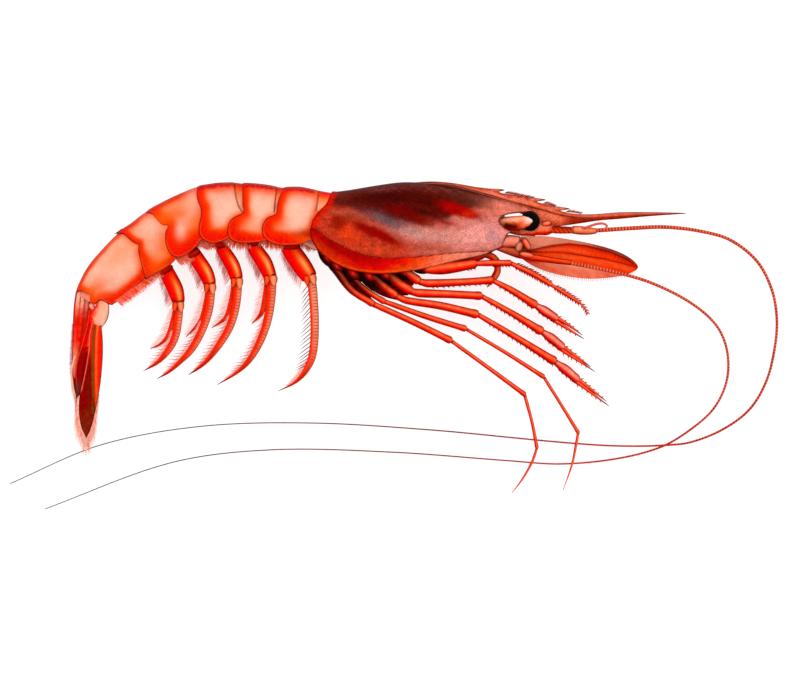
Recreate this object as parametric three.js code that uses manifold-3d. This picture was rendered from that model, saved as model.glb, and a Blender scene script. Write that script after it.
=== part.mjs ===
// A whole raw deep-water shrimp, lying on its left side on a flat surface. Millimetres.
// +X runs to the head, +Y to the animal's back, +Z up through its right side.
// The origin is on the small flat under the head shell, where the shell touches the surface.
//
// Every piece is set out in side view (X, Y) and given its height over the surface (Z).
// The animal is the same on both sides of its middle plane, but the limbs of the lower, left
// side lie nearly on the surface, while those of the upper, right side stand clear of it.
import * as THREE from "three";
import { mergeVertices } from "three/addons/utils/BufferGeometryUtils.js";
import Module from "manifold-3d";

const wasm = await Module();
wasm.setup();

// Driving dimensions
const GAP = 0.3; // between neighbouring pieces
const RING_GAP = 0.45; // from one tail ring to the next, along the tail
const CARAPACE_HALF_WIDTH = 12.2; // at its widest
const ABDOMEN_HALF_WIDTH = 9.7; // at the first rings
const EYE_RADIUS = 3.2;
const RING_FLARE = 0.05; // how much a tail ring widens from its front edge to its back edge
const TOUCH = 0.02; // left whips lie this close to the surface
const GROUND_REACH = 400; // width of the block that trims what would lie under the surface
const GROUND_DEPTH = 20;
const CUT_FROM = -5; // lowest and highest point of what cuts right through the body
const CUT_TO = 30;

// How many sides a limb's section has, by how stout the limb is.
const WHIP_SIDES = 5;
const LEG_SIDES = 6;
const SWIM_BASE_SIDES = 7;
const BLADE_SIDES = 8;
const TELSON_SIDES = 10;

// A smooth curve through [x, value] keys: cubic pieces, whose slope at a key is that of the line
// between its two neighbours.
function through(keys) {
  const slope = keys.map((_, i) => {
    const a = keys[Math.max(i - 1, 0)];
    const b = keys[Math.min(i + 1, keys.length - 1)];
    return (b[1] - a[1]) / (b[0] - a[0]);
  });
  return (x) => {
    const held = THREE.MathUtils.clamp(x, keys[0][0], keys.at(-1)[0]);
    let i = 0;
    while (i < keys.length - 2 && held > keys[i + 1][0]) i++;
    const [x0, y0] = keys[i];
    const [x1, y1] = keys[i + 1];
    const w = x1 - x0;
    const t = (held - x0) / w;
    const t2 = t * t;
    const t3 = t2 * t;
    return (
      y0 * (2 * t3 - 3 * t2 + 1) +
      slope[i] * w * (t3 - 2 * t2 + t) +
      y1 * (3 * t2 - 2 * t3) +
      slope[i + 1] * w * (t3 - t2)
    );
  };
}

// Height of the animal's middle plane over the surface: each stretch of the body lies on its own side.
const midHeight = through([
  [-104, 6.3], [-95, 6.9], [-88, 7.4], [-75, 8.4], [-64, 9.0],
  [-48, 9.5], [-34, 10.4], [-20, 11.4], [-6, 11.9], [10, 11.9],
]);

// A geometry as a solid, turned the right way out.
function solid(geometry) {
  const bare = geometry.clone();
  bare.deleteAttribute("normal");
  bare.deleteAttribute("uv");
  const merged = mergeVertices(bare);
  const at = merged.attributes.position;
  const corners = new Uint32Array(merged.index.array);
  const [a, b, c] = [new THREE.Vector3(), new THREE.Vector3(), new THREE.Vector3()];
  let volume = 0;
  for (let i = 0; i < corners.length; i += 3) {
    a.fromBufferAttribute(at, corners[i]);
    b.fromBufferAttribute(at, corners[i + 1]);
    c.fromBufferAttribute(at, corners[i + 2]);
    volume += a.dot(b.cross(c));
  }
  if (volume < 0) corners.reverse();
  return new wasm.Manifold(
    new wasm.Mesh({ numProp: 3, vertProperties: new Float32Array(at.array), triVerts: corners }),
  );
}

// A solid as a geometry again.
function geometryOf(made) {
  const mesh = made.getMesh();
  const geometry = new THREE.BufferGeometry();
  geometry.setAttribute("position", new THREE.BufferAttribute(mesh.vertProperties, 3));
  geometry.setIndex(new THREE.BufferAttribute(mesh.triVerts, 1));
  geometry.computeVertexNormals();
  return geometry;
}

// A unit cylinder whose points move to place(along, around, out): along 0 to 1, around in radians,
// out 0 on the axis and 1 on the skin.
function warped(sides, steps, place) {
  const geometry = new THREE.CylinderGeometry(1, 1, 1, sides, steps);
  const at = geometry.attributes.position;
  for (let i = 0; i < at.count; i++) {
    const out = Math.hypot(at.getX(i), at.getZ(i));
    const to = place(at.getY(i) + 0.5, Math.atan2(at.getX(i), at.getZ(i)), out);
    at.setXYZ(i, to.x, to.y, to.z);
  }
  return solid(geometry);
}

// A limb, whip or blade: rings round a line of stations [x, y, z, half width in side view,
// half thickness].
function limb(stations, sides) {
  const last = stations.length - 1;
  const point = (i) => new THREE.Vector3(...stations[THREE.MathUtils.clamp(i, 0, last)]);
  return warped(sides, last, (along, around, out) => {
    const i = Math.round(along * last);
    const [, , , wide, thick = wide] = stations[i];
    const run = point(i + 1).sub(point(i - 1)).normalize();
    const across = new THREE.Vector3(0, 0, 1).cross(run).normalize();
    const over = run.clone().cross(across);
    return point(i)
      .addScaledVector(across, out * wide * Math.cos(around))
      .addScaledVector(over, out * thick * Math.sin(around));
  });
}

// A whip: a smooth line lying on the surface, or for the right one on top of the left one, and lifted
// off it where it leaves the head or crosses another. Stations are [x, y, radius, lift left, lift right].
function whip(stations, side, steps) {
  const route = stations.map(([x, y]) => new THREE.Vector3(x, y, 0));
  const course = new THREE.CatmullRomCurve3(route, false, "centripetal");
  const radius = through(stations.map((s, i) => [i, s[2]]));
  const lift = through(stations.map((s, i) => [i, side === "left" ? s[3] : s[4]]));
  const sections = Array.from({ length: steps + 1 }, (_, i) => {
    const t = course.getUtoTmapping(i / steps);
    const { x, y } = course.getPoint(t);
    const passed = t * (stations.length - 1);
    const r = radius(passed);
    const resting = side === "left" ? r + TOUCH : 3 * r + TOUCH + GAP;
    return [x, y, resting + Math.max(0, lift(passed)), r];
  });
  return limb(sections, WHIP_SIDES);
}

// One of a pair: stations are [x, y, height right, height left, half width, half thickness].
const ofSide = (stations, side) =>
  stations.map(([x, y, right, left, ...size]) => [x, y, side === "right" ? right : left, ...size]);

// One of a pair: stations are [x, y, distance from the middle plane, half width, half thickness].
const fromMiddle = (stations, side) =>
  stations.map(([x, y, off, ...size]) => [x, y, midHeight(x) + (side === "right" ? off : -off), ...size]);

// What is left of a piece when a neighbour and the gap round it are taken away.
function clearOf(piece, neighbour, ...ways) {
  return ways.reduce((rest, way) => rest.subtract(neighbour.translate(way)), piece).subtract(neighbour);
}

// A cut can leave a crumb on the far side of a neighbour: keep the piece itself.
function largest(made) {
  return made.decompose().reduce((a, b) => (b.volume() > a.volume() ? b : a));
}

// Straight through all Z, the outline given by runs of points: a run marked smooth is a spline.
function prism(runs, low, high) {
  const shape = new THREE.Shape();
  runs.forEach((run, i) => {
    const points = run.points.map(([x, y]) => new THREE.Vector2(x, y));
    if (i === 0) shape.moveTo(points[0].x, points[0].y);
    else shape.lineTo(points[0].x, points[0].y);
    if (run.smooth) shape.splineThru(points.slice(1));
    else points.slice(1).forEach((p) => shape.lineTo(p.x, p.y));
  });
  shape.closePath();
  const upright = { depth: high - low, bevelEnabled: false, curveSegments: 1 };
  const geometry = new THREE.ExtrudeGeometry(shape, upright);
  geometry.translate(0, 0, low);
  return solid(geometry);
}

const power = (value, exponent) => Math.sign(value) * Math.abs(value) ** exponent;

const groundGeometry = new THREE.BoxGeometry(GROUND_REACH, GROUND_REACH, GROUND_DEPTH);
groundGeometry.translate(0, 0, -GROUND_DEPTH / 2);
const ground = solid(groundGeometry);

// Head shell, in side view from its rear margin to the eyes: back line, belly line and width.
const HEAD_REAR = -30;
const HEAD_FRONT = 41.5;
const headBack = through([
  [-30, 10.9], [-21.8, 11.5], [-16, 12.2], [-7.7, 13.6], [0, 14.6], [9.6, 14.9],
  [16.6, 14.5], [24.3, 13.1], [32, 11.2], [38.4, 9.6], [42, 8.4],
]);
const headBelly = through([
  [-30, -5.6], [-25.6, -7.7], [-21.8, -10.6], [-16.6, -13.1], [-11.5, -14.2], [-5.8, -14.6],
  [0.6, -14.1], [7.7, -13], [16, -11], [27.8, -8.3], [33.6, -6.4], [42, -4.6],
]);
const headWidth = through([
  [-30, 0.83], [-20, 0.92], [-8, 0.99], [4, 1.0], [16, 0.9], [26, 0.75], [33, 0.57], [42, 0.3],
]);
const REAR_MARGIN = [
  [-20.5, 14], [-21.8, 11.5], [-23.7, 7.6], [-26.2, 5.1], [-28, 2.6], [-28.8, -0.6],
  [-28.3, -3.5], [-26.2, -7.2], [-23.2, -10.2], [-20.6, -12.4],
];
const FRONT_MARGIN = [
  [27.6, -8.9], [29.8, -7], [31.7, -6.5], [33, -5.8], [33.4, -3.8], [34.2, -2.2], [35.8, -1.1],
  [33.3, 0], [32, 1.3], [31.7, 2.7], [32.6, 3.9], [35.2, 4.6],
];
const SECTION_POWER = 2 / 2.25; // a little fuller than an ellipse
const LOWER_FULLNESS = 0.1; // how much wider the section is below than above

const EYE = [[41.3, 2.1, 4.0]]; // x, y, distance from the middle plane

function eye(side, radius) {
  const geometry = new THREE.SphereGeometry(radius, 12, 8);
  geometry.translate(...fromMiddle(EYE, side)[0]);
  return solid(geometry);
}

function headPoint(along, around, out) {
  const x = THREE.MathUtils.lerp(HEAD_REAR, HEAD_FRONT, along);
  const up = power(Math.cos(around), SECTION_POWER);
  const side = power(Math.sin(around), SECTION_POWER);
  const middle = (headBack(x) + headBelly(x)) / 2;
  const half = (headBack(x) - headBelly(x)) / 2;
  const wide = CARAPACE_HALF_WIDTH * headWidth(x) * (1 - LOWER_FULLNESS * up);
  return new THREE.Vector3(x, middle + half * up * out, midHeight(x) + wide * side * out);
}

// Rostrum: a long blade, thickest along a rib on its side, with a toothed crest.
const ROSTRUM_ROOT = 22;
const ROSTRUM_TIP = 91.5;
const rostrumTop = through([
  [22, 11.6], [32, 10.9], [38.4, 10.0], [44, 8.2], [50, 5.8],
  [54, 4.6], [60, 4.4], [70.4, 5.1], [80, 5.1], [91.5, 4.8],
]);
const rostrumRib = through([
  [22, 9.5], [32, 8.6], [38.4, 7.3], [51.2, 3.9], [57.6, 3.4], [76.8, 4.5], [91.5, 4.72],
]);
const rostrumEdge = through([
  [22, 6.6], [32, 6], [38.4, 4.5], [44, 2.8], [49, 0.9], [54.4, 1], [64, 2.6], [76.8, 3.9], [91.5, 4.6],
]);
const rostrumWidth = through([
  [22, 4.4], [32, 3.4], [38.4, 2.7], [46, 1.9], [54, 1.4], [64, 1.05], [80, 0.65], [91.5, 0.2],
]);
const CREST = [
  [18, 12], [24.3, 13.2], [29, 12.7], [33.4, 12.2], [31.6, 11.8], [31.5, 11], [38.4, 10.4],
  [46.5, 9.3], [43.9, 9], [43.3, 8.3], [49, 7.1], [54.2, 6.1], [51.2, 5.9], [50.3, 5.2],
  [53.6, 4.5], [57, 4.2], [50, 4], [38, 8], [18, 11],
];
const CREST_AT = 40; // it stands on the middle plane there
const CREST_HALF_THICKNESS = 0.45;

function rostrumPoint(along, around, out) {
  const x = THREE.MathUtils.lerp(ROSTRUM_ROOT, ROSTRUM_TIP, along);
  const up = Math.cos(around) * out;
  const reach = up > 0 ? rostrumTop(x) - rostrumRib(x) : rostrumRib(x) - rostrumEdge(x);
  const wide = rostrumWidth(x) * Math.sin(around) * out;
  return new THREE.Vector3(x, rostrumRib(x) + reach * up, midHeight(x) + wide);
}

function carapace() {
  const outline = prism(
    [
      { points: REAR_MARGIN, smooth: true },
      { points: [[-16, -18], [26, -18]] },
      { points: FRONT_MARGIN, smooth: false },
      { points: [[46, 4.6], [46, 18]] },
    ],
    CUT_FROM,
    CUT_TO,
  );
  const middle = midHeight(CREST_AT);
  const crest = prism([{ points: CREST }], middle - CREST_HALF_THICKNESS, middle + CREST_HALF_THICKNESS);
  return warped(24, 26, headPoint)
    .intersect(outline)
    .add(warped(8, 16, rostrumPoint))
    .add(crest)
    .subtract(eye("right", EYE_RADIUS + GAP))
    .subtract(eye("left", EYE_RADIUS + GAP))
    .subtract(ground);
}

// Tail: stations from head to tail, with the back line and belly line in side view and the width.
const STATIONS = [
  { back: [-17.6, 11.2], belly: [-17.6, -5.8], wide: 0.99 },
  { back: [-26.2, 12.2], belly: [-25, -6.1], wide: 1 },
  { back: [-32, 13.2], belly: [-32.6, -5.6], wide: 1 },
  { back: [-38.1, 13.3], belly: [-40, -5.1], wide: 0.99 },
  { back: [-44.2, 14.1], belly: [-46.4, -4.7], wide: 0.99 },
  { back: [-50.2, 14.6], belly: [-51.8, -4.8], wide: 0.99 },
  { back: [-57, 14.6], belly: [-57, -4.9], wide: 0.97 },
  { back: [-64.3, 13.6], belly: [-61.4, -5], wide: 0.95 },
  { back: [-69.4, 11.5], belly: [-65.6, -6.4], wide: 0.92 },
  { back: [-75.2, 8.8], belly: [-69.8, -9.3], wide: 0.88 },
  { back: [-81, 5.6], belly: [-74.2, -12.5], wide: 0.84 },
  { back: [-85.8, 1.8], belly: [-78, -14.7], wide: 0.79 },
  { back: [-90.2, -1.3], belly: [-81.6, -16.4], wide: 0.74 },
  { back: [-95, -6.4], belly: [-84.8, -18.7], wide: 0.69 },
  { back: [-99.8, -12.2], belly: [-88.3, -21.8], wide: 0.64 },
  { back: [-103, -18.2], belly: [-91.8, -24.8], wide: 0.59 },
  { back: [-104.3, -22.1], belly: [-94.7, -27.2], wide: 0.56 },
];
const tailLine = (key) => new THREE.CatmullRomCurve3(STATIONS.map((s) => new THREE.Vector3(...s[key], 0)));
const backLine = tailLine("back");
const bellyLine = tailLine("belly");
const ringWidth = through(STATIONS.map((s, i) => [i, s.wide * ABDOMEN_HALF_WIDTH]));
const BELLY_OVERRUN = 1.3; // the section runs past the plates' lower edge, which then cuts it

// Back edge of each ring, from the back down to its lower corner, and the way the tail runs there.
const REAR_EDGES = [
  { points: REAR_MARGIN, tailward: [-1, 0] },
  {
    points: [
      [-36.5, 16], [-37.1, 13.1], [-38.6, 9.9], [-39.4, 7], [-39.7, 4.6], [-42.2, 3.4], [-43.7, 1.6],
      [-44.2, -0.6], [-43.6, -2.8], [-41.6, -4.6], [-38.4, -5.6],
    ],
    tailward: [-1, 0],
  },
  {
    points: [
      [-50.2, 17], [-50.3, 14.6], [-50.4, 10.6], [-50.4, 7.4], [-50.2, 5], [-52.5, 3.8], [-54.4, 2.2],
      [-55.2, 0], [-55, -2.2], [-53.9, -3.9], [-51.2, -4.9],
    ],
    tailward: [-1, 0],
  },
  {
    points: [
      [-65.2, 16], [-65, 13.1], [-65.1, 10.9], [-64.6, 8.3], [-63.7, 6.1], [-63.8, 3.5], [-64.4, 0.6],
      [-64.2, -1.9], [-63, -3.7], [-60.2, -5],
    ],
    tailward: [-1, -0.1],
  },
  {
    points: [
      [-84, 6.5], [-81.3, 5], [-79.4, 4.5], [-78.1, 3], [-76.2, 1.1], [-74.2, 0.8], [-75, -1.3],
      [-75.1, -4.5], [-74.1, -7.4], [-72.5, -9], [-70.4, -9.5],
    ],
    tailward: [-0.9, -0.5],
  },
  {
    points: [
      [-94, -1], [-91.2, -1.8], [-88.6, -1.9], [-86.7, -3.5], [-85.1, -4.8], [-83.8, -5.3], [-83.7, -7.7],
      [-82.9, -11.2], [-82.1, -14.1], [-81.3, -16.4],
    ],
    tailward: [-0.8, -0.6],
  },
  {
    points: [
      [-106, -20.6], [-103.7, -20.8], [-102.4, -20], [-100.8, -20.8], [-99.4, -21.4], [-99, -23.7],
      [-97.9, -24.5], [-97, -23.8], [-96, -22.9], [-94.4, -23.8], [-92.2, -24.7],
    ],
    tailward: [-0.3, -1],
  },
];
// Lower edge of each ring's side plates, head end first, ending where its rear edge ends.
const LOWER_EDGES = [
  [[-29, -3.6], [-30.4, -4.8], [-33.6, -5.5], [-38.4, -5.7]],
  [[-43.5, -2.9], [-48, -4.1], [-51.2, -5]],
  [[-54.9, -3.4], [-57, -4.4], [-60.2, -5.1]],
  [[-63.6, -3.6], [-65, -5.8], [-67.2, -7.8], [-70.4, -9.6]],
  [[-71, -9.3], [-73, -11.4], [-75.4, -13], [-78.6, -14.7], [-81.3, -16.5]],
  [[-82, -15.6], [-86.4, -19.8], [-89.8, -22.8], [-92.2, -24.8]],
];
// Station at which each ring starts and ends on the back line.
const RING_SPANS = [[0.6, 2.9], [2.9, 5], [5, 7.1], [7.1, 10], [10, 12.1], [12.1, 15.6]];
const RING_RUN = { before: 1, after: 2 }; // stations a ring's solid runs past its span, before it is cut
const FLARE_RUN = { from: -0.2, even: 0.6, to: 1.3 }; // parts of a ring's span between which it widens
const RING_HEAD_ROOM = { ahead: 16, above: 30 }; // how far a ring's outline runs past its front and back
const HEADWARD_ROOM = { low: [30, -12], high: [50, 30] }; // the same for all that lies before an edge

function ringPoint(station, around, out, grow) {
  const t = station / (STATIONS.length - 1);
  const back = backLine.getPoint(t);
  const belly = bellyLine.getPoint(t);
  const middle = back.clone().add(belly).multiplyScalar(0.5);
  const half = back.clone().sub(middle);
  const up = power(Math.cos(around), SECTION_POWER);
  const side = power(Math.sin(around), SECTION_POWER);
  const reach = up < 0 ? BELLY_OVERRUN * up : up;
  const at = middle.addScaledVector(half, reach * out * grow);
  at.z = midHeight(at.x) + ringWidth(station) * side * out * grow;
  return at;
}

function ringLoft(first, last) {
  const start = Math.max(first - RING_RUN.before, 0);
  const end = Math.min(last + RING_RUN.after, STATIONS.length - 1);
  return warped(18, 7, (along, around, out) => {
    const station = THREE.MathUtils.lerp(start, end, along);
    const passed = THREE.MathUtils.clamp((station - first) / (last - first), FLARE_RUN.from, FLARE_RUN.to);
    return ringPoint(station, around, out, 1 + RING_FLARE * (passed - FLARE_RUN.even));
  });
}

// The hollow under the belly, between the side plates: from one station to another, its depth,
// how far it leans to the head, and its part of the tail's width.
const HOLLOW = { from: 0.9, to: 12, depth: 2.7, lean: 0.25, width: 0.62 };
const HOLLOWED_RINGS = 5; // all but the last

const bellyHollow = warped(8, 11, (along, around, out) => {
  const station = THREE.MathUtils.lerp(HOLLOW.from, HOLLOW.to, along);
  const at = bellyLine.getPoint(station / (STATIONS.length - 1));
  at.x += HOLLOW.depth * HOLLOW.lean * Math.cos(around) * out;
  at.y += HOLLOW.depth * Math.cos(around) * out;
  at.z = midHeight(at.x) + HOLLOW.width * ringWidth(station) * Math.sin(around) * out;
  return at;
});

// All that lies headward of a ring's rear edge and of the gap behind it.
function headward({ points: edge, tailward: [toX, toY] }) {
  const points = edge.map(([x, y]) => [x + toX * RING_GAP, y + toY * RING_GAP]);
  const [topX, topY] = points[0];
  const [lowX, lowY] = points.at(-1);
  const { low, high } = HEADWARD_ROOM;
  const around = [[lowX + low[0], lowY + low[1]], [topX + high[0], topY + high[1]], [topX, topY + high[1]]];
  return prism([{ points, smooth: true }, { points: around }], CUT_FROM, CUT_TO);
}

function ring(index) {
  const [first, last] = RING_SPANS[index];
  const lower = [...LOWER_EDGES[index]].reverse();
  const [startX, startY] = lower.at(-1);
  const { ahead, above } = RING_HEAD_ROOM;
  const region = prism(
    [
      { points: REAR_EDGES[index + 1].points, smooth: true },
      { points: lower, smooth: true },
      { points: [[startX + ahead, startY], [startX + ahead, startY + above]] },
    ],
    CUT_FROM,
    CUT_TO,
  );
  const whole = ringLoft(first, last).intersect(region);
  const hollowed = index < HOLLOWED_RINGS ? whole.subtract(bellyHollow) : whole;
  return hollowed.subtract(headward(REAR_EDGES[index])).subtract(ground);
}

const head = carapace();
const rings = RING_SPANS.map((_, i) => ring(i));

// Tail fan: five blades hung from the last ring. Stations of the middle one are x, y, half width
// and half thickness; those of the paired ones are for fromMiddle.
const TELSON = [
  [-101.2, -19.3, 1.9, 3.2], [-101.6, -24, 2.1, 3.3], [-102.1, -30, 2.3, 3.0], [-102.8, -36, 2.0, 2.4],
  [-103.5, -42, 1.3, 1.7], [-104, -46.5, 0.6, 0.9], [-104.1, -48, 0.2, 0.3],
];
const FAN_BASE = [[-94.6, -21.6, 4.4, 1.8, 1.2], [-95.8, -26.5, 4.6, 2.9, 1.5], [-97, -31.3, 4.6, 2.4, 1.2]];
const INNER_BLADE = [
  [-98.9, -31.9, 4.2, 1.2, 0.35], [-100.2, -36, 3.9, 1.8, 0.35], [-101, -42, 3.6, 2.2, 0.35],
  [-101.6, -47, 3.3, 2.2, 0.35], [-102.3, -51, 3.1, 1.6, 0.3], [-102.7, -53.8, 3.0, 0.3, 0.2],
];
const OUTER_BLADE = [
  [-97.2, -31.9, 5.3, 1.4, 0.4], [-97.4, -36, 5.3, 1.9, 0.4], [-97.8, -42, 5.2, 2.4, 0.4],
  [-98.3, -48, 5.1, 2.75, 0.4], [-99.1, -54, 5.0, 3.2, 0.4], [-99.8, -59, 4.9, 3.0, 0.4],
  [-100.4, -64, 4.8, 1.9, 0.35], [-100.5, -67.4, 4.8, 0.3, 0.2],
];
const aheadOfFan = headward(REAR_EDGES.at(-1));
const telsonStations = TELSON.map(([x, y, wide, thick]) => [x, y, midHeight(x), wide, thick]);

const telson = () => limb(telsonStations, TELSON_SIDES).subtract(aheadOfFan);
const fanBase = (side) => limb(fromMiddle(FAN_BASE, side), BLADE_SIDES).subtract(aheadOfFan);

// Eyestalks, as stations for fromMiddle.
const STALK = [
  [31.9, 2.1, 4.0, 1.7, 1.8], [34, 2.2, 4.1, 1.9, 2.2], [37, 2.2, 4.3, 2.1, 3.1],
  [40, 2.1, 4.4, 2.2, 3.9], [41.8, 2.1, 4.4, 1.7, 3.9], [42.7, 2.1, 4.4, 0.7, 3.2],
];

function eyestalk(side) {
  const whole = limb(fromMiddle(STALK, side), BLADE_SIDES).subtract(eye(side, EYE_RADIUS + GAP));
  return largest(clearOf(whole, head, [GAP, 0, 0], [0, -GAP, 0]));
}

// Feelers. Stations of whips are for whip, all others here and below are for ofSide.
const ANTENNULE_STEM = [
  [38.8, -1.8, 13.7, 10.1, 1.0], [42, -1.7, 13.9, 9.9, 1.1], [44.6, -0.6, 14.2, 9.6, 1.9],
  [48.2, 0, 14.2, 9.6, 2.0], [49.4, -0.4, 14.2, 9.6, 1.3], [54.6, -0.5, 14.2, 9.6, 1.2],
  [55.6, -0.6, 14.2, 9.6, 1.4], [61, -0.8, 14.2, 9.6, 1.3], [62.3, -0.8, 14.2, 9.6, 0.9],
];
const ANTENNULE_CURL = [
  [57.6, -0.4, 14.6, 9.2, 0.5], [58.8, -0.1, 15.3, 8.5, 0.42], [60.8, 0.6, 15.9, 7.9, 0.4],
  [63, 1.3, 16, 7.8, 0.4], [65, 1.4, 15.9, 7.9, 0.38], [66.2, 0.6, 15.8, 8, 0.34],
  [65.6, -0.2, 15.7, 8.1, 0.25],
];
const ANTENNULE_WHIP = [
  [62.7, -0.8, 0.72, 8.9, 11.7], [73.6, -0.1, 0.7, 7.4, 9.9], [84.8, 0.3, 0.65, 5.3, 7.4],
  [96, -1, 0.58, 3.1, 4.6], [105.6, -3.8, 0.54, 1.2, 2.1], [114.2, -10.6, 0.5, 0.2, 0.5],
  [119, -19.8, 0.47, 0, 0], [120.6, -29.4, 0.45, 0, 0], [119.8, -39, 0.43, 0, 0],
  [117.1, -49.3, 0.41, 0, 0], [111.7, -58.2, 0.4, 0, 0], [103, -64.6, 0.38, 0.1, 0.1],
  [92.8, -68.6, 0.37, 1.4, 1.4], [84.8, -69.5, 0.36, 2.1, 2.1], [75.2, -69.8, 0.34, 1.2, 1.2],
  [64, -69.5, 0.32, 0.2, 0.2], [46.4, -68.1, 0.3, 0, 0], [9.6, -64.6, 0.26, 0, 0],
  [-28.8, -62.4, 0.24, 0, 0], [-64, -63.5, 0.23, 0, 0], [-96, -69.5, 0.22, 0, 0],
  [-124.8, -81.8, 0.2, 0, 0],
];
const ANTENNA_BASE = [
  [32.4, -4.4, 16, 7.8, 2.1], [35.6, -4.9, 16.6, 7.2, 2.5], [38.4, -6.8, 17.3, 6.5, 2.1],
  [40.4, -9, 18.2, 5.6, 1.2], [46, -9.9, 18.6, 5.2, 1.0], [54.2, -11.1, 18.5, 5.3, 0.85],
];
const ANTENNA_SCALE = [
  [38.2, -7, 13.6, 10.2, 2.5, 0.4], [44, -8.1, 13.6, 10.2, 4.8, 0.4], [50, -9.1, 13.6, 10.2, 5.7, 0.4],
  [56, -10, 13.6, 10.2, 5.8, 0.4], [62, -10.8, 13.6, 10.2, 5.4, 0.4], [67, -11.3, 13.6, 10.2, 4.6, 0.4],
  [71, -11.8, 13.6, 10.2, 3.45, 0.4], [74.2, -12.1, 13.6, 10.2, 1.95, 0.35],
  [76.3, -12.3, 13.6, 10.2, 0.4, 0.25],
];
const ANTENNA_WHIP = [
  [54.7, -11.3, 0.56, 4.7, 16.5], [67.2, -13.8, 0.54, 3.9, 15.7], [80, -17.4, 0.51, 2.7, 13.6],
  [92.8, -23.8, 0.47, 1.4, 9.2], [101.1, -31, 0.44, 0.5, 4.8], [104.6, -39, 0.42, 0, 1.7],
  [104.6, -48.6, 0.4, 0, 0.2], [100.5, -57.6, 0.37, 0, 0],
  [92.8, -64.6, 0.35, 0, 0], [83.2, -70.2, 0.33, 0, 0], [68.8, -73.9, 0.31, 0, 0], [51.2, -75.5, 0.29, 0, 0],
  [35.2, -74.5, 0.27, 0, 0], [-3.2, -71.7, 0.25, 0, 0], [-41.6, -71, 0.23, 0, 0], [-73.6, -75.2, 0.22, 0, 0],
  [-113.6, -89.9, 0.2, 0, 0],
];

function antennule(side) {
  const stem = limb(ofSide(ANTENNULE_STEM, side), BLADE_SIDES).subtract(eye(side, EYE_RADIUS + GAP));
  return stem.add(limb(ofSide(ANTENNULE_CURL, side), WHIP_SIDES));
}

function antennaBase(side) {
  return clearOf(limb(ofSide(ANTENNA_BASE, side), BLADE_SIDES), head, [GAP, 0, 0], [GAP, -GAP, 0]);
}

// Mouth limbs and walking legs.
const MAXILLIPED_2 = [
  [25.4, -8.2, 13.5, 10.3, 0.9], [29.2, -9.1, 13.5, 10.3, 1.1], [31.3, -11.2, 13.5, 10.3, 1.15],
  [31, -14.1, 13.3, 10.3, 1.0], [29.6, -16.6, 13.1, 10.2, 0.7], [27.8, -18.9, 13, 10, 0.25],
];
const MAXILLIPED_3 = [
  [7.6, -13, 16.2, 7.6, 0.9], [12.8, -12.9, 17, 6.8, 1.6], [18, -12.3, 17.2, 6.6, 1.5],
  [23.6, -11.6, 17.2, 6.5, 1.25], [24.8, -11.5, 17.2, 6.4, 0.95], [34.8, -11.3, 17, 5.8, 1.0],
  [36.4, -11.7, 17, 5.6, 0.85], [48, -17.9, 16, 4.4, 0.75], [57.6, -24, 14.6, 3, 0.45],
  [60.2, -27.8, 14, 2.4, 0.15],
];
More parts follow.
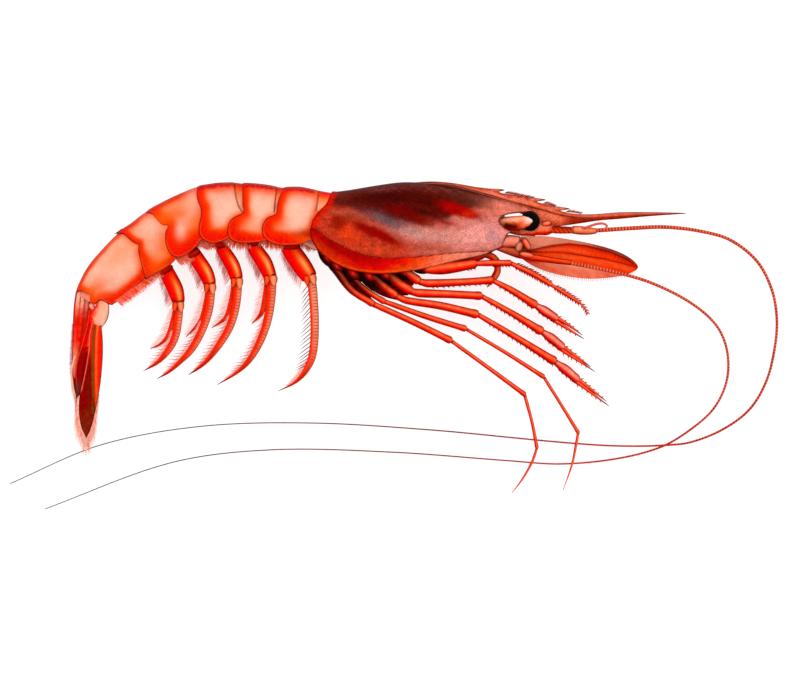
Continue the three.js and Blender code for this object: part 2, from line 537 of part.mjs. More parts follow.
// A leg's joints, then the finger it closes on, if it has one.
const LEGS = [
  {
    joints: [
      [-0.4, -12.6, 15, 8.8, 1.1], [5.2, -16.7, 15.8, 7.8, 1.3], [6.8, -17.4, 15.9, 7.7, 1.0],
      [9, -17.7, 16, 7.6, 1.3], [20, -17.3, 16, 6.8, 1.2], [28.8, -16.8, 15.7, 6.2, 1.1],
      [30.4, -17.1, 15.5, 6.1, 0.75], [42.8, -24.4, 13.3, 4.1, 1.25], [44, -25.1, 13.2, 4, 0.9],
      [46.5, -26.7, 12.8, 3.6, 1.5], [49.5, -28.6, 12.4, 3.2, 1.35], [50.6, -28.8, 12.3, 3.1, 0.6],
      [58.2, -34.1, 11.3, 2.1, 0.15],
    ],
    finger: [[48.6, -29.1, 12.5, 3.3, 0.8], [51, -30.5, 12.3, 3.1, 0.55], [58.9, -35.4, 11.3, 2.1, 0.15]],
  },
  {
    joints: [
      [-5.4, -13.4, 15, 8.8, 1.2], [-0.4, -18, 15.7, 7.8, 1.35], [2.8, -19.8, 15.9, 7.6, 1.05],
      [5.4, -20.7, 16, 7.4, 1.35], [16, -21.2, 15.6, 6.6, 1.3], [25.4, -21.7, 15, 6, 1.15],
      [27, -22.2, 14.9, 5.9, 0.75], [44.8, -32.8, 12.9, 3.7, 1.3], [46, -33.6, 12.8, 3.6, 0.9],
      [48.4, -35.3, 12.5, 3.3, 1.5], [51.6, -37.8, 12.1, 2.9, 1.35], [52.6, -38.1, 12, 2.8, 0.6],
      [60.8, -44.2, 11, 1.8, 0.15],
    ],
    finger: [[50.6, -38.1, 12.2, 3, 0.8], [53, -39.9, 12, 2.8, 0.55], [62.4, -46, 11, 1.8, 0.15]],
  },
  {
    joints: [
      [-10.8, -13.8, 15, 8.6, 1.2], [-4.6, -19.3, 15.6, 7.8, 1.15], [-1, -21.7, 15.8, 7.5, 1.0],
      [1.8, -23, 15.8, 7.3, 1.15], [13, -24.9, 15.3, 6.4, 1.3], [24.2, -27.6, 14.6, 5.6, 1.15],
      [25.8, -28.2, 14.5, 5.5, 0.8], [49, -42.4, 12.2, 3.3, 1.3], [50.2, -43.3, 12.1, 3.2, 0.95],
      [53, -45.4, 11.8, 2.9, 1.5], [56.4, -48.2, 11.4, 2.6, 1.35], [57.3, -48.4, 11.3, 2.5, 0.6],
      [65.9, -55.3, 10.3, 1.6, 0.15],
    ],
    finger: [[55.4, -48.5, 11.5, 2.7, 0.8], [57.8, -50.2, 11.3, 2.5, 0.55], [66.9, -57, 10.3, 1.6, 0.15]],
  },
  {
    joints: [
      [-15.8, -13.4, 14.8, 8.6, 0.95], [-13.8, -17.2, 15.1, 8.2, 0.95], [-10.4, -20.2, 15.3, 7.8, 0.85],
      [-5.4, -23.4, 15.4, 7.4, 0.8], [-3.6, -24, 15.4, 7.3, 0.9], [20.6, -32.1, 14.2, 6.2, 0.85],
      [22.2, -32.8, 14.1, 6.1, 0.6], [45.6, -47.4, 12, 4.8, 0.65], [46.8, -48.6, 11.9, 4.7, 0.55],
      [57, -65.3, 10.4, 3.6, 0.5], [56.5, -69, 10, 3.3, 0.42], [55, -75.8, 9.4, 2.9, 0.34],
      [52.2, -83.8, 8.8, 2.2, 0.12],
    ],
  },
  {
    joints: [
      [-23.6, -8.6, 14.2, 8.4, 1.2], [-19.4, -14.9, 14.8, 8, 1.15], [-15.6, -19.8, 15, 7.6, 1.05],
      [-9, -24.1, 15.2, 7.2, 0.95], [-7.2, -24.9, 15.2, 7.1, 1.05], [15.8, -35.8, 13.8, 6, 0.95],
      [17.4, -36.8, 13.7, 5.9, 0.65], [39.6, -53, 11.6, 4.6, 0.7], [40.4, -54.4, 11.5, 4.5, 0.55],
      [43.8, -70.1, 10.2, 3.4, 0.48], [42.2, -75, 9.8, 3.1, 0.42], [39, -80.6, 9.3, 2.7, 0.32],
      [35.8, -84.8, 8.9, 2.2, 0.12],
    ],
  },
];

const underHead = (made) => largest(clearOf(made, head, [0, -GAP, 0], [0, 0, GAP], [0, 0, -GAP]));

const mouthLimb = (stations, side) => underHead(limb(ofSide(stations, side), LEG_SIDES));

function leg({ joints, finger }, side) {
  const whole = limb(ofSide(joints, side), LEG_SIDES);
  return underHead(finger ? whole.add(limb(ofSide(finger, side), WHIP_SIDES)) : whole);
}

// Swimming legs: a stout base that carries one or two blades. Stations are x, y and half width.
const SWIM_BASE_HEIGHT = 3.2; // of the base, from the middle plane
const SWIM_TIP_LEFT = 1.2; // height of the left tips over the surface
const SWIM_DROOP = 2.4; // how far the right tips hang below their base
const BLADE_STEP = 1; // between the outer and inner blade
const SWIM_THICKNESS = { base: 1.3, outer: 0.5, inner: 0.4 }; // half of it
const SWIM_REACH = 42; // from a base to its blade tip, near enough
const SWIM_LEGS = [
  {
    base: [
      [-35.4, -4.4, 2.4], [-33, -9.6, 2.8], [-30.8, -13.4, 2.5], [-29, -16.6, 2.4], [-28.4, -18.4, 1.5],
    ],
    outer: [
      [-28.6, -17.4, 1.2], [-27.4, -29.4, 1.3], [-27.5, -36.5, 1.3], [-29.1, -42.9, 1.3],
      [-32.6, -48.3, 0.9], [-39, -52.2, 0.2],
    ],
  },
  {
    base: [
      [-47.4, -3.7, 2.1], [-45.1, -8.3, 2.5], [-42.8, -12.2, 2.4], [-41.3, -16.4, 2.2],
      [-41.1, -18.2, 1.4],
    ],
    outer: [
      [-41.2, -17.4, 1.2], [-42.6, -29.4, 1.3], [-44.8, -36.5, 1.3], [-48, -42.2, 1.2],
      [-52.8, -46.4, 0.8], [-58.6, -50.2, 0.2],
    ],
    inner: [[-42.3, -16.4, 0.8], [-43.2, -23, 0.9], [-44.8, -27.8, 0.7], [-47.4, -30.7, 0.2]],
  },
  {
    base: [
      [-57.9, -4.1, 2.0], [-54.9, -9.3, 2.3], [-52.9, -13.1, 2.2], [-51.8, -17.2, 2.0],
      [-51.9, -19, 1.3],
    ],
    outer: [
      [-52, -18.2, 1.1], [-53.4, -28.5, 1.3], [-56, -34.2, 1.25], [-59.8, -39.4, 1.2],
      [-63, -43.2, 0.9], [-67.8, -47, 0.2],
    ],
    inner: [[-53.1, -17.4, 0.8], [-54.1, -24.6, 0.9], [-56.3, -29.4, 0.7], [-60.2, -32, 0.2]],
  },
  {
    base: [
      [-66.1, -7.4, 1.8], [-63.9, -11.5, 2.1], [-61.5, -15, 2.0], [-60.4, -19, 1.8],
      [-60.6, -20.8, 1.2],
    ],
    outer: [
      [-60.6, -20, 1.1], [-62.4, -29.4, 1.3], [-65, -35.8, 1.25], [-68.5, -41, 1.2],
      [-72.6, -44.5, 0.9], [-77.8, -48.3, 0.2],
    ],
    inner: [
      [-60.9, -17.6, 0.8], [-61.9, -21.4, 0.85], [-63, -26.9, 0.9], [-65.3, -32, 0.7],
      [-68.5, -34.9, 0.2],
    ],
  },
  {
    base: [
      [-74.9, -12.7, 1.7], [-72.8, -17.3, 2.0], [-71, -21, 1.9], [-70.8, -24.6, 1.7], [-71, -26.6, 1.2],
    ],
    outer: [
      [-71, -25.6, 1.0], [-71.7, -33.3, 1.2], [-73.3, -37.8, 1.15], [-75.8, -41.3, 1.1],
      [-78.7, -43.8, 0.8], [-82.2, -45.8, 0.2],
    ],
    inner: [
      [-71.4, -22.6, 0.7], [-72.2, -26.4, 0.75], [-73.3, -31, 0.8], [-75.8, -36.5, 0.6],
      [-80, -38.7, 0.2],
    ],
  },
];

function swimHeight(side, root, x, y) {
  const run = Math.min(1, Math.hypot(x - root[0], y - root[1]) / SWIM_REACH);
  const middle = midHeight(root[0]);
  if (side === "right") return middle + SWIM_BASE_HEIGHT - SWIM_DROOP * run * run;
  return THREE.MathUtils.lerp(middle - SWIM_BASE_HEIGHT, SWIM_TIP_LEFT, run);
}

function swimLeg({ base, outer, inner }, side, ringIndex) {
  const root = base[0];
  const inward = side === "right" ? -BLADE_STEP : BLADE_STEP;
  const strip = (points, step, thick) =>
    points.map(([x, y, wide]) => [x, y, swimHeight(side, root, x, y) + step, wide, Math.min(thick, wide)]);
  const stout = limb(strip(base, 0, SWIM_THICKNESS.base), SWIM_BASE_SIDES);
  let whole = stout.add(limb(strip(outer, 0, SWIM_THICKNESS.outer), WHIP_SIDES));
  if (inner) whole = whole.add(limb(strip(inner, inward, SWIM_THICKNESS.inner), WHIP_SIDES));
  const ways = [[0, -GAP, 0], [0, 0, GAP], [0, 0, -GAP]];
  const near = rings.slice(Math.max(0, ringIndex - 1), ringIndex + 2);
  return largest(near.reduce((rest, one) => clearOf(rest, one, ...ways), whole));
}

// The part: each piece turns and lies about its own root.
const part = new THREE.Group();
const colour = (hex, roughness) => new THREE.MeshStandardMaterial({ color: hex, roughness, metalness: 0 });
const MATERIALS = {
  headShell: colour(0x8c2a22, 0.4),
  ringShell: colour(0xf0795c, 0.42),
  limbShell: colour(0xdf3b22, 0.42),
  whip: colour(0xb8281c, 0.45),
  blade: colour(0xb32a1e, 0.42),
  eyeBlack: colour(0x0a0808, 0.15),
};

function place(name, made, material, anchor, group) {
  const geometry = geometryOf(made);
  geometry.translate(-anchor[0], -anchor[1], -anchor[2]);
  const mesh = new THREE.Mesh(geometry, material);
  mesh.name = name;
  mesh.position.set(...anchor);
  group.add(mesh);
}

function section(name) {
  const group = new THREE.Group();
  group.name = name;
  part.add(group);
  return group;
}

const trunk = section("trunk");
place("carapace", head, MATERIALS.headShell, [0, 0, 0], trunk);
rings.forEach((made, i) => {
  const [x, y] = STATIONS[Math.round(RING_SPANS[i][0])].back;
  place(`abdomen_${i + 1}`, made, MATERIALS.ringShell, [x, y, midHeight(x)], trunk);
});

const fan = section("tail_fan");
const feelers = section("head_limbs");
const legs = section("legs");
const swimmers = section("swimming_legs");
const firstOf = (stations) => stations[0].slice(0, 3);
const lastOf = (stations) => stations.at(-1).slice(0, 3);
place("telson", telson(), MATERIALS.ringShell, firstOf(telsonStations), fan);

for (const side of ["right", "left"]) {
  const { ringShell, limbShell, blade, whip: whipShell, eyeBlack } = MATERIALS;
  const inner = fromMiddle(INNER_BLADE, side);
  const outer = fromMiddle(OUTER_BLADE, side);
  place(`uropod_base_${side}`, fanBase(side), limbShell, firstOf(fromMiddle(FAN_BASE, side)), fan);
  place(`uropod_endopod_${side}`, limb(inner, BLADE_SIDES), blade, firstOf(inner), fan);
  place(`uropod_exopod_${side}`, limb(outer, BLADE_SIDES), blade, firstOf(outer), fan);

  place(`eyestalk_${side}`, eyestalk(side), ringShell, firstOf(fromMiddle(STALK, side)), feelers);
  place(`eye_${side}`, eye(side, EYE_RADIUS), eyeBlack, firstOf(fromMiddle(EYE, side)), feelers);

  const stem = ofSide(ANTENNULE_STEM, side);
  const stemWhip = whip(ANTENNULE_WHIP, side, 46);
  place(`antennule_${side}`, antennule(side), ringShell, firstOf(stem), feelers);
  place(`antennule_whip_${side}`, stemWhip, whipShell, lastOf(stem), feelers);

  const base = ofSide(ANTENNA_BASE, side);
  const scale = ofSide(ANTENNA_SCALE, side);
  const baseWhip = whip(ANTENNA_WHIP, side, 42);
  place(`antenna_base_${side}`, antennaBase(side), limbShell, firstOf(base), feelers);
  place(`antenna_scale_${side}`, limb(scale, BLADE_SIDES), ringShell, firstOf(scale), feelers);
  place(`antenna_whip_${side}`, baseWhip, whipShell, lastOf(base), feelers);

  [MAXILLIPED_2, MAXILLIPED_3].forEach((stations, i) => {
    const root = firstOf(ofSide(stations, side));
    place(`maxilliped_${i + 2}_${side}`, mouthLimb(stations, side), limbShell, root, feelers);
  });
  LEGS.forEach((one, i) => {
    place(`leg_${i + 1}_${side}`, leg(one, side), limbShell, firstOf(ofSide(one.joints, side)), legs);
  });
  SWIM_LEGS.forEach((one, i) => {
    const [x, y] = one.base[0];
    const [root] = fromMiddle([[x, y, SWIM_BASE_HEIGHT]], side);
    place(`pleopod_${i + 1}_${side}`, swimLeg(one, side, i), limbShell, root, swimmers);
  });
}

export default part;
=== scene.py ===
import bpy
import numpy as np
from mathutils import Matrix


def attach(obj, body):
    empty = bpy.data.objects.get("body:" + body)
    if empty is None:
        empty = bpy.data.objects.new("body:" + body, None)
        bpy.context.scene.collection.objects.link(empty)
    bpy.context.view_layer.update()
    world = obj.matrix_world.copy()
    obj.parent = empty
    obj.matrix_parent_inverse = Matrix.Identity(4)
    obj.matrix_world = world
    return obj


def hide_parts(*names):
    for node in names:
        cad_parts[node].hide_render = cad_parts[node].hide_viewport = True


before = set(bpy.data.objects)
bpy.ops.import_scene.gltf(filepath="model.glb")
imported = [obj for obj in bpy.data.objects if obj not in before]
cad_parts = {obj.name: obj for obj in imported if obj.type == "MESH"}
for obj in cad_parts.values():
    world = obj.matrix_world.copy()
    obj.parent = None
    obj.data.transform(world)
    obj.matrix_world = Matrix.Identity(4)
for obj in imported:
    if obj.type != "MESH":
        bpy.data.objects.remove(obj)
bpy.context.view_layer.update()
scene = bpy.context.scene
millimetre = 0.001

# The camera looks straight down, so the picture is a true side view of the animal.
picture = {
    "width": 256,  # what it takes in from left to right
    "centre": (0, -35.04),
    "height": 450,
}
cameraObject = bpy.data.objects.new("camera", bpy.data.cameras.new("camera"))
cameraObject.data.type = "ORTHO"
cameraObject.data.ortho_scale = picture["width"] * millimetre
cameraObject.location = (*(np.array(picture["centre"]) * millimetre), picture["height"] * millimetre)
scene.collection.objects.link(cameraObject)
scene.camera = cameraObject
scene.view_settings.view_transform = "Standard"
print("camera in place")


# Curve through rows of [x, value, value...]: cubic pieces whose slope at a row is that of its two neighbours.
def through(rows):
    rows = np.array(rows, float)
    x, y = rows[:, 0], rows[:, 1:]
    order = np.arange(len(x))
    before, after = np.maximum(order - 1, 0), np.minimum(order + 1, len(x) - 1)
    slope = (y[after] - y[before]) / (x[after] - x[before])[:, None]

    def at(value):
        value = np.clip(np.asarray(value, float), x[0], x[-1])
        i = np.clip(np.searchsorted(x, value, side="right") - 1, 0, len(x) - 2)
        span = (x[i + 1] - x[i])[..., None]
        t = (value - x[i])[..., None] / span
        t2, t3 = t**2, t**3
        found = (
            y[i] * (2 * t3 - 3 * t2 + 1)
            + slope[i] * span * (t3 - 2 * t2 + t)
            + y[i + 1] * (3 * t2 - 2 * t3)
            + slope[i + 1] * span * (t3 - t2)
        )
        return found[..., 0] if found.shape[-1] == 1 else found

    return at


# Length along a row of points, from the first one.
def runOf(points):
    step = np.linalg.norm(np.diff(points, axis=0), axis=1)
    return np.concatenate([[0], np.cumsum(step)])


# Directions made one long.
def unit(rows):
    return rows / np.linalg.norm(rows, axis=1)[:, None]


# Rows of values that stand at the lengths `run`, read at the lengths `at` on straight lines between them.
def readAt(at, run, rows):
    return np.stack([np.interp(at, run, column) for column in rows.T], -1)


# Smooth curve through stations, sampled about every `spacing` of its way in side view.
def smoothLine(stations, spacing):
    stations = np.array(stations, float)
    run = runOf(stations[:, :2])
    return through(np.c_[run, stations])(np.linspace(0, run[-1], max(3, int(np.ceil(run[-1] / spacing)) + 1)))


# Height in side view of an open line of straight stretches, at the places x.
def lineHeight(line, x):
    line = np.array(line, float)
    return np.interp(x, line[:, 0], line[:, 1])


# Smallest distance in side view from each point to an open line of straight stretches.
def distanceTo(points, line):
    a, b = np.array(line[:-1], float), np.array(line[1:], float)
    stretch = b - a
    away = points[:, None, :2] - a[None]
    t = np.clip((away * stretch).sum(-1) / np.maximum((stretch**2).sum(-1), 1e-9), 0, 1)
    return np.sqrt(((away - t[..., None] * stretch) ** 2).sum(-1).min(1))


# 0 below `low`, 1 above `high`, with a soft start and end.
def ease(value, low, high):
    t = np.clip((value - low) / (high - low), 0, 1)
    return t * t * (3 - 2 * t)


# Bell curve, 1 at `centre` and 0.37 one `width` away.
def bell(value, centre, width):
    return np.exp(-(((value - centre) / width) ** 2))


# 1 at the start, down to 0 and back to 1 once every `pitch`.
def wave(along, pitch):
    return 0.5 + 0.5 * np.cos(2 * np.pi * along / pitch)


# A power of the size of a value, with the value's sign kept.
def signedPower(value, power):
    return np.sign(value) * np.abs(value) ** power


# Angles of `count` even steps round a section.
def circle(count):
    return np.linspace(0, 2 * np.pi, count, endpoint=False)


# Bell in side view: an ellipse about (x, y) with two half sizes, turned by an angle in degrees.
def patch(points, x, y, long, short, turn):
    c, s = np.cos(np.radians(turn)), np.sin(np.radians(turn))
    dx, dy = points[:, 0] - x, points[:, 1] - y
    return np.exp(-(((dx * c + dy * s) / long) ** 2) - (((dy * c - dx * s) / short) ** 2))


# A soft mask given a firmer edge and a level middle.
def edged(mask):
    return ease(mask, 0.12, 0.75)


# Soft random field from -1 to 1: plane waves of about one wavelength with seeded directions and phases.
def drift(points, wavelength, seed):
    draw = np.random.default_rng(seed)
    heading = draw.normal(size=(9, points.shape[1]))
    heading *= (draw.uniform(0.7, 1.4, 9) / np.linalg.norm(heading, axis=1))[:, None]
    phase = draw.uniform(0, 2 * np.pi, 9)
    return np.sin(points @ heading.T * 2 * np.pi / wavelength + phase).mean(1) * 1.8


# A colour as a screen shows it, 0 to 255, turned to the linear values that materials use.
def tone(red, green, blue):
    c = np.array([red, green, blue]) / 255
    return np.where(c <= 0.04045, c / 12.92, ((c + 0.055) / 1.055) ** 2.4)


# Colours laid over each other: each layer is a mask from 0 to 1 and a colour, either (red, green, blue) as a
# screen shows it or an array of linear tints.
def layered(base, *layers):
    linear = lambda colour: tone(*colour) if isinstance(colour, tuple) else colour
    tint = linear(base)
    for mask, over in layers:
        mask = np.clip(mask, 0, 1)[:, None]
        tint = tint * (1 - mask) + linear(over) * mask
    return tint


# Faces of a grid of rows by columns, closed round its columns if `around`.
def gridFaces(rows, columns, around=False):
    last = columns if around else columns - 1
    i, j = np.meshgrid(np.arange(rows - 1), np.arange(last), indexing="ij")
    k = (j + 1) % columns
    start, after = i * columns, (i + 1) * columns
    return np.stack([start + j, start + k, after + k, after + j], -1).reshape(-1, 4)


# Closed skin over rings of points (rings, sides, 3), each end drawn together on a point. It is a shape, like
# all that is made here: a dictionary of "points", "quads", "triangles" and "tint".
def closedRings(rings, tint):
    count, sides = rings.shape[:2]
    ends = np.array([rings[0].mean(0), rings[-1].mean(0)])
    here = np.arange(sides)
    after = (here + 1) % sides
    first = np.stack([after, here, np.full(sides, count * sides)], -1)
    lastRing = (count - 1) * sides
    final = np.stack([lastRing + here, lastRing + after, np.full(sides, count * sides + 1)], -1)
    tint = tint.reshape(count, sides, 3)
    return {
        "points": np.vstack([rings.reshape(-1, 3), ends]),
        "quads": gridFaces(count, sides, True),
        "triangles": np.vstack([first, final]),
        "tint": np.vstack([tint.reshape(-1, 3), tint[0].mean(0), tint[-1].mean(0)]),
    }


# Closed shell from two grids of the same size, one under the other, with a rim on all four sides.
def closedShell(outer, inner, tint, innerTint):
    rows, columns = outer.shape[:2]
    number = np.arange(rows * columns).reshape(rows, columns)
    edge = np.concatenate([number[0, :-1], number[:-1, -1], number[-1, :0:-1], number[:0:-1, 0]])
    after = np.roll(edge, -1)
    size, face = rows * columns, gridFaces(rows, columns)
    rim = np.stack([after, edge, edge + size, after + size], -1)
    return {
        "points": np.vstack([outer.reshape(-1, 3), inner.reshape(-1, 3)]),
        "quads": np.vstack([face, face[:, ::-1] + size, rim]),
        "triangles": np.zeros((0, 3), int),
        "tint": np.vstack([tint.reshape(-1, 3), innerTint.reshape(-1, 3)]),
    }


# Turned outwards: a closed shape whose signed volume is negative has its faces reversed.
def outward(shape):
    corners = np.vstack([shape["quads"][:, [0, 1, 2]], shape["quads"][:, [0, 2, 3]], shape["triangles"]])
    a, b, c = (shape["points"][corners[:, k]] for k in range(3))
    if (a * np.cross(b, c)).sum() < 0:
        shape["quads"] = shape["quads"][:, ::-1]
        shape["triangles"] = shape["triangles"][:, ::-1]
    return shape


# One shape of many, each one's face numbers moved on past the points before it.
def joined(shapes):
    start, out = 0, {"points": [], "quads": [], "triangles": [], "tint": []}
    for shape in shapes:
        shape = outward(shape)
        for key in ("quads", "triangles"):
            out[key].append(shape[key] + start)
        out["points"].append(shape["points"])
        out["tint"].append(shape["tint"])
        start += len(shape["points"])
    return {key: np.vstack(value) for key, value in out.items()}


richness = 1.06  # how much further than painted each tint lies from its own grey
sharpAngle = 50  # faces that meet at more than this many degrees keep a sharp edge


# Shapes made one mesh and one piece, which stands for the frame's nodes and rides with the animal.
def makePiece(name, shapes, finishName, nodes=()):
    shape = joined(shapes)
    quads, triangles = shape["quads"], shape["triangles"]
    mesh = bpy.data.meshes.new(name)
    mesh.vertices.add(len(shape["points"]))
    mesh.vertices.foreach_set("co", (shape["points"] * millimetre).astype(np.float32).ravel())
    mesh.loops.add(quads.size + triangles.size)
    corners = np.concatenate([quads.ravel(), triangles.ravel()])
    mesh.loops.foreach_set("vertex_index", corners.astype(np.int32))
    mesh.polygons.add(len(quads) + len(triangles))
    starts = np.concatenate([np.arange(len(quads)) * 4, quads.size + np.arange(len(triangles)) * 3])
    mesh.polygons.foreach_set("loop_start", starts.astype(np.int32))
    mesh.update(calc_edges=True)
    mesh.validate()
    mesh.polygons.foreach_set("use_smooth", np.ones(len(mesh.polygons), bool))
    mesh.set_sharp_from_angle(angle=np.radians(sharpAngle))
    tint = mesh.color_attributes.new(name="tint", type="FLOAT_COLOR", domain="POINT")
    grey = shape["tint"].mean(axis=1, keepdims=True)
    rich = np.maximum(grey + (shape["tint"] - grey) * richness, 0)
    tint.data.foreach_set("color", np.c_[rich, np.ones(len(rich))].astype(np.float32).ravel())
    mesh.materials.append(finish[finishName])
    piece = bpy.data.objects.new(name, mesh)
    scene.collection.objects.link(piece)
    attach(piece, "root")
    if nodes:
        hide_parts(*nodes)


# The piece of one side, which stands for that side's node.
def makeSided(name, side, shapes, finishName, node=None):
    makePiece(f"{name}_{side}", shapes, finishName, [f"{node or name}_{side}"])


# Ellipse carried along a path of [x, y, z, half width, half thickness]: its width lies across the path in
# side view and its thickness over it. Each end is rounded off over about its own radius.
# dress(along in mm, total length, across -1 to 1, over -1 to 1, points) gives the colours.
def sweep(path, sides, dress, roundness, relief=None):
    at, wide, thick = path[:, :3], path[:, 3], path[:, 4]
    along = runOf(at)
    heading = unit(np.gradient(at, along, axis=0))
    capAngle = np.radians([80, 58, 34, 12]) if roundness > 0 else np.zeros(0)
    lead, tail = roundness * min(wide[0], thick[0]), roundness * min(wide[-1], thick[-1])
    at = np.vstack([
        at[0] - heading[0] * lead * np.sin(capAngle)[:, None],
        at,
        (at[-1] + heading[-1] * tail * np.sin(capAngle)[:, None])[::-1],
    ])
    shrink = np.concatenate([np.cos(capAngle), np.ones(len(wide)), np.cos(capAngle)[::-1]])
    grown = lambda v: np.concatenate([np.full(len(capAngle), v[0]), v, np.full(len(capAngle), v[-1])])
    along = np.concatenate([-lead * np.sin(capAngle), along, along[-1] + tail * np.sin(capAngle)[::-1]])
    heading = np.vstack([heading[[0] * len(capAngle)], heading, heading[[-1] * len(capAngle)]])
    across = unit(np.cross([0, 0, 1], heading))
    over = np.cross(heading, across)
    turn = circle(sides)[None, :]
    c, s = np.cos(turn), np.sin(turn)
    swell = relief(along[:, None], turn) if relief else 0
    rings = (
        at[:, None]
        + across[:, None] * (c * (grown(wide) * shrink)[:, None] * (1 + swell))[..., None]
        + over[:, None] * (s * (grown(thick) * shrink)[:, None] * (1 + swell))[..., None]
    )
    spread = lambda v: np.broadcast_to(v, rings.shape[:2]).ravel()
    tint = dress(spread(along[:, None]), along[-1], spread(c), spread(s), rings.reshape(-1, 3))
    return closedRings(rings, tint)


# Thin three-sided hairs: pyramids from root points to tips, still nearly full half way.
def hairs(roots, tips, radius, tint):
    heading = unit(tips - roots)
    side = unit(np.cross(heading, [0.31, 0.22, 0.92]))  # any direction no hair has
    other = np.cross(heading, side)
    turn = np.radians([90, 210, 330])
    collar = side[:, None] * np.cos(turn)[None, :, None] + other[:, None] * np.sin(turn)[None, :, None]
    middle = (roots + tips) / 2
    points = np.concatenate([
        roots[:, None] + collar * radius, middle[:, None] + collar * radius * 0.85, tips[:, None],
    ], axis=1)
    quads = np.array([[0, 1, 4, 3], [1, 2, 5, 4], [2, 0, 3, 5]])
    triangles = np.array([[3, 4, 6], [4, 5, 6], [5, 3, 6], [2, 1, 0]])
    start = np.arange(len(roots))[:, None, None] * 7
    return {
        "points": points.reshape(-1, 3),
        "quads": (quads[None] + start).reshape(-1, 4),
        "triangles": (triangles[None] + start).reshape(-1, 3),
        "tint": np.repeat(tint, 7, axis=0),
    }


# Height of the animal's middle plane over the surface: each stretch of the body lies on its own side.
middleHeight = through([
    [-104, 6.3], [-95, 6.9], [-88, 7.4], [-75, 8.4], [-64, 9],
    [-48, 9.5], [-34, 10.4], [-20, 11.4], [-6, 11.9], [10, 11.9],
])
headMiddle = 11.9  # the same height from the head shell forwards
sides = ("right", "left")
sign = {"right": 1, "left": -1}


# Finishes: each multiplies the painted tint by grain and mottling, and roughens the light a little.
finishes = {  # grain, its fineness, mottling, its fineness, roughness, gloss, relief
    "headShell": (0.34, 2400, 0.26, 500, 0.42, 0.3, 0.22),
    "ringShell": (0.1, 2300, 0.1, 200, 0.36, 0.4, 0.16),
    "limbShell": (0.12, 2600, 0.16, 420, 0.34, 0.4, 0.14),
    "blade": (0.2, 2400, 0.2, 500, 0.42, 0.3, 0.2),
    "whip": (0.15, 2600, 0.2, 300, 0.45, 0.3, 0.1),
    "flesh": (0.1, 1800, 0.15, 260, 0.5, 0.4, 0.2),
    "hair": (0.1, 900, 0.1, 200, 0.6, 0.1, 0),
}
fleshScatter = {"Subsurface Weight": 0.05, "Subsurface Radius": (1, 0.3, 0.18), "Subsurface Scale": 0.001}
shellIor = 1.08
reliefHeight = 0.0004  # metres
paintDepth = 0.77  # the room is brighter than white, so the tints are laid on this much deeper
cornea = {"facets": 5200, "dark": (0.001, 0.001, 0.001, 1), "light": (0.004, 0.003, 0.003, 1), "relief": 0.12}


# A node with its settings, and with values on its own inputs.
def addNode(tree, kind, inputs=None, **settings):
    node = tree.nodes.new(kind)
    for key, value in settings.items():
        setattr(node, key, value)
    setInputs(node, inputs or {})
    return node


def setInputs(node, inputs):
    for key, value in inputs.items():
        node.inputs[key].default_value = value


def wire(tree, source, output, target, socket):
    tree.links.new(source.outputs[output], target.inputs[socket])


def newMaterial(name):
    material = bpy.data.materials.new(name)
    material.use_nodes = True
    return material, material.node_tree, material.node_tree.nodes["Principled BSDF"]


# A pattern's value, from a dark to a light colour, on the shader's base colour.
def colourBetween(tree, pattern, output, dark, light, shader):
    shade = addNode(tree, "ShaderNodeValToRGB")
    shade.color_ramp.elements[0].color, shade.color_ramp.elements[1].color = dark, light
    wire(tree, pattern, output, shade, "Fac")
    wire(tree, shade, "Color", shader, "Base Color")


def addRelief(tree, pattern, output, strength, height, shader):
    bump = addNode(tree, "ShaderNodeBump", {"Strength": strength, "Distance": height})
    wire(tree, pattern, output, bump, "Height")
    wire(tree, bump, "Normal", shader, "Normal")


# Noise, which keeps near its middle, stretched to run from low to high.
def stretched(tree, noise, low, high):
    limits = {"From Min": 0.3, "From Max": 0.7, "To Min": low, "To Max": high}
    spread = addNode(tree, "ShaderNodeMapRange", limits)
    wire(tree, noise, "Fac", spread, "Value")
    return spread


def shellFinish(name):
    grain, grainSize, mottle, mottleSize, rough, gloss, relief = finishes[name]
    material, tree, shader = newMaterial(name)
    place = addNode(tree, "ShaderNodeTexCoord")
    painted = addNode(tree, "ShaderNodeAttribute", attribute_name="tint")
    fine = addNode(tree, "ShaderNodeTexNoise", {"Scale": grainSize, "Detail": 2, "Roughness": 0.6})
    broad = addNode(tree, "ShaderNodeTexNoise", {"Scale": mottleSize, "Detail": 4, "Roughness": 0.6})
    both = addNode(tree, "ShaderNodeMath", operation="MULTIPLY")
    coloured = addNode(tree, "ShaderNodeVectorMath", operation="SCALE")
    for number, (noise, low, high) in enumerate((
        (fine, paintDepth * (1 - grain), paintDepth * (1 + grain)), (broad, 1 - mottle, 1 + mottle),
    )):
        wire(tree, place, "Object", noise, "Vector")
        wire(tree, stretched(tree, noise, low, high), "Result", both, number)
    wire(tree, painted, "Color", coloured, 0)
    wire(tree, both, "Value", coloured, "Scale")
    wire(tree, coloured, "Vector", shader, "Base Color")
    wire(tree, stretched(tree, broad, rough - 0.08, rough + 0.1), "Result", shader, "Roughness")
    if relief:
        addRelief(tree, fine, "Fac", relief, reliefHeight, shader)
    setInputs(shader, {"IOR": shellIor, "Specular IOR Level": gloss, **fleshScatter})
    return material


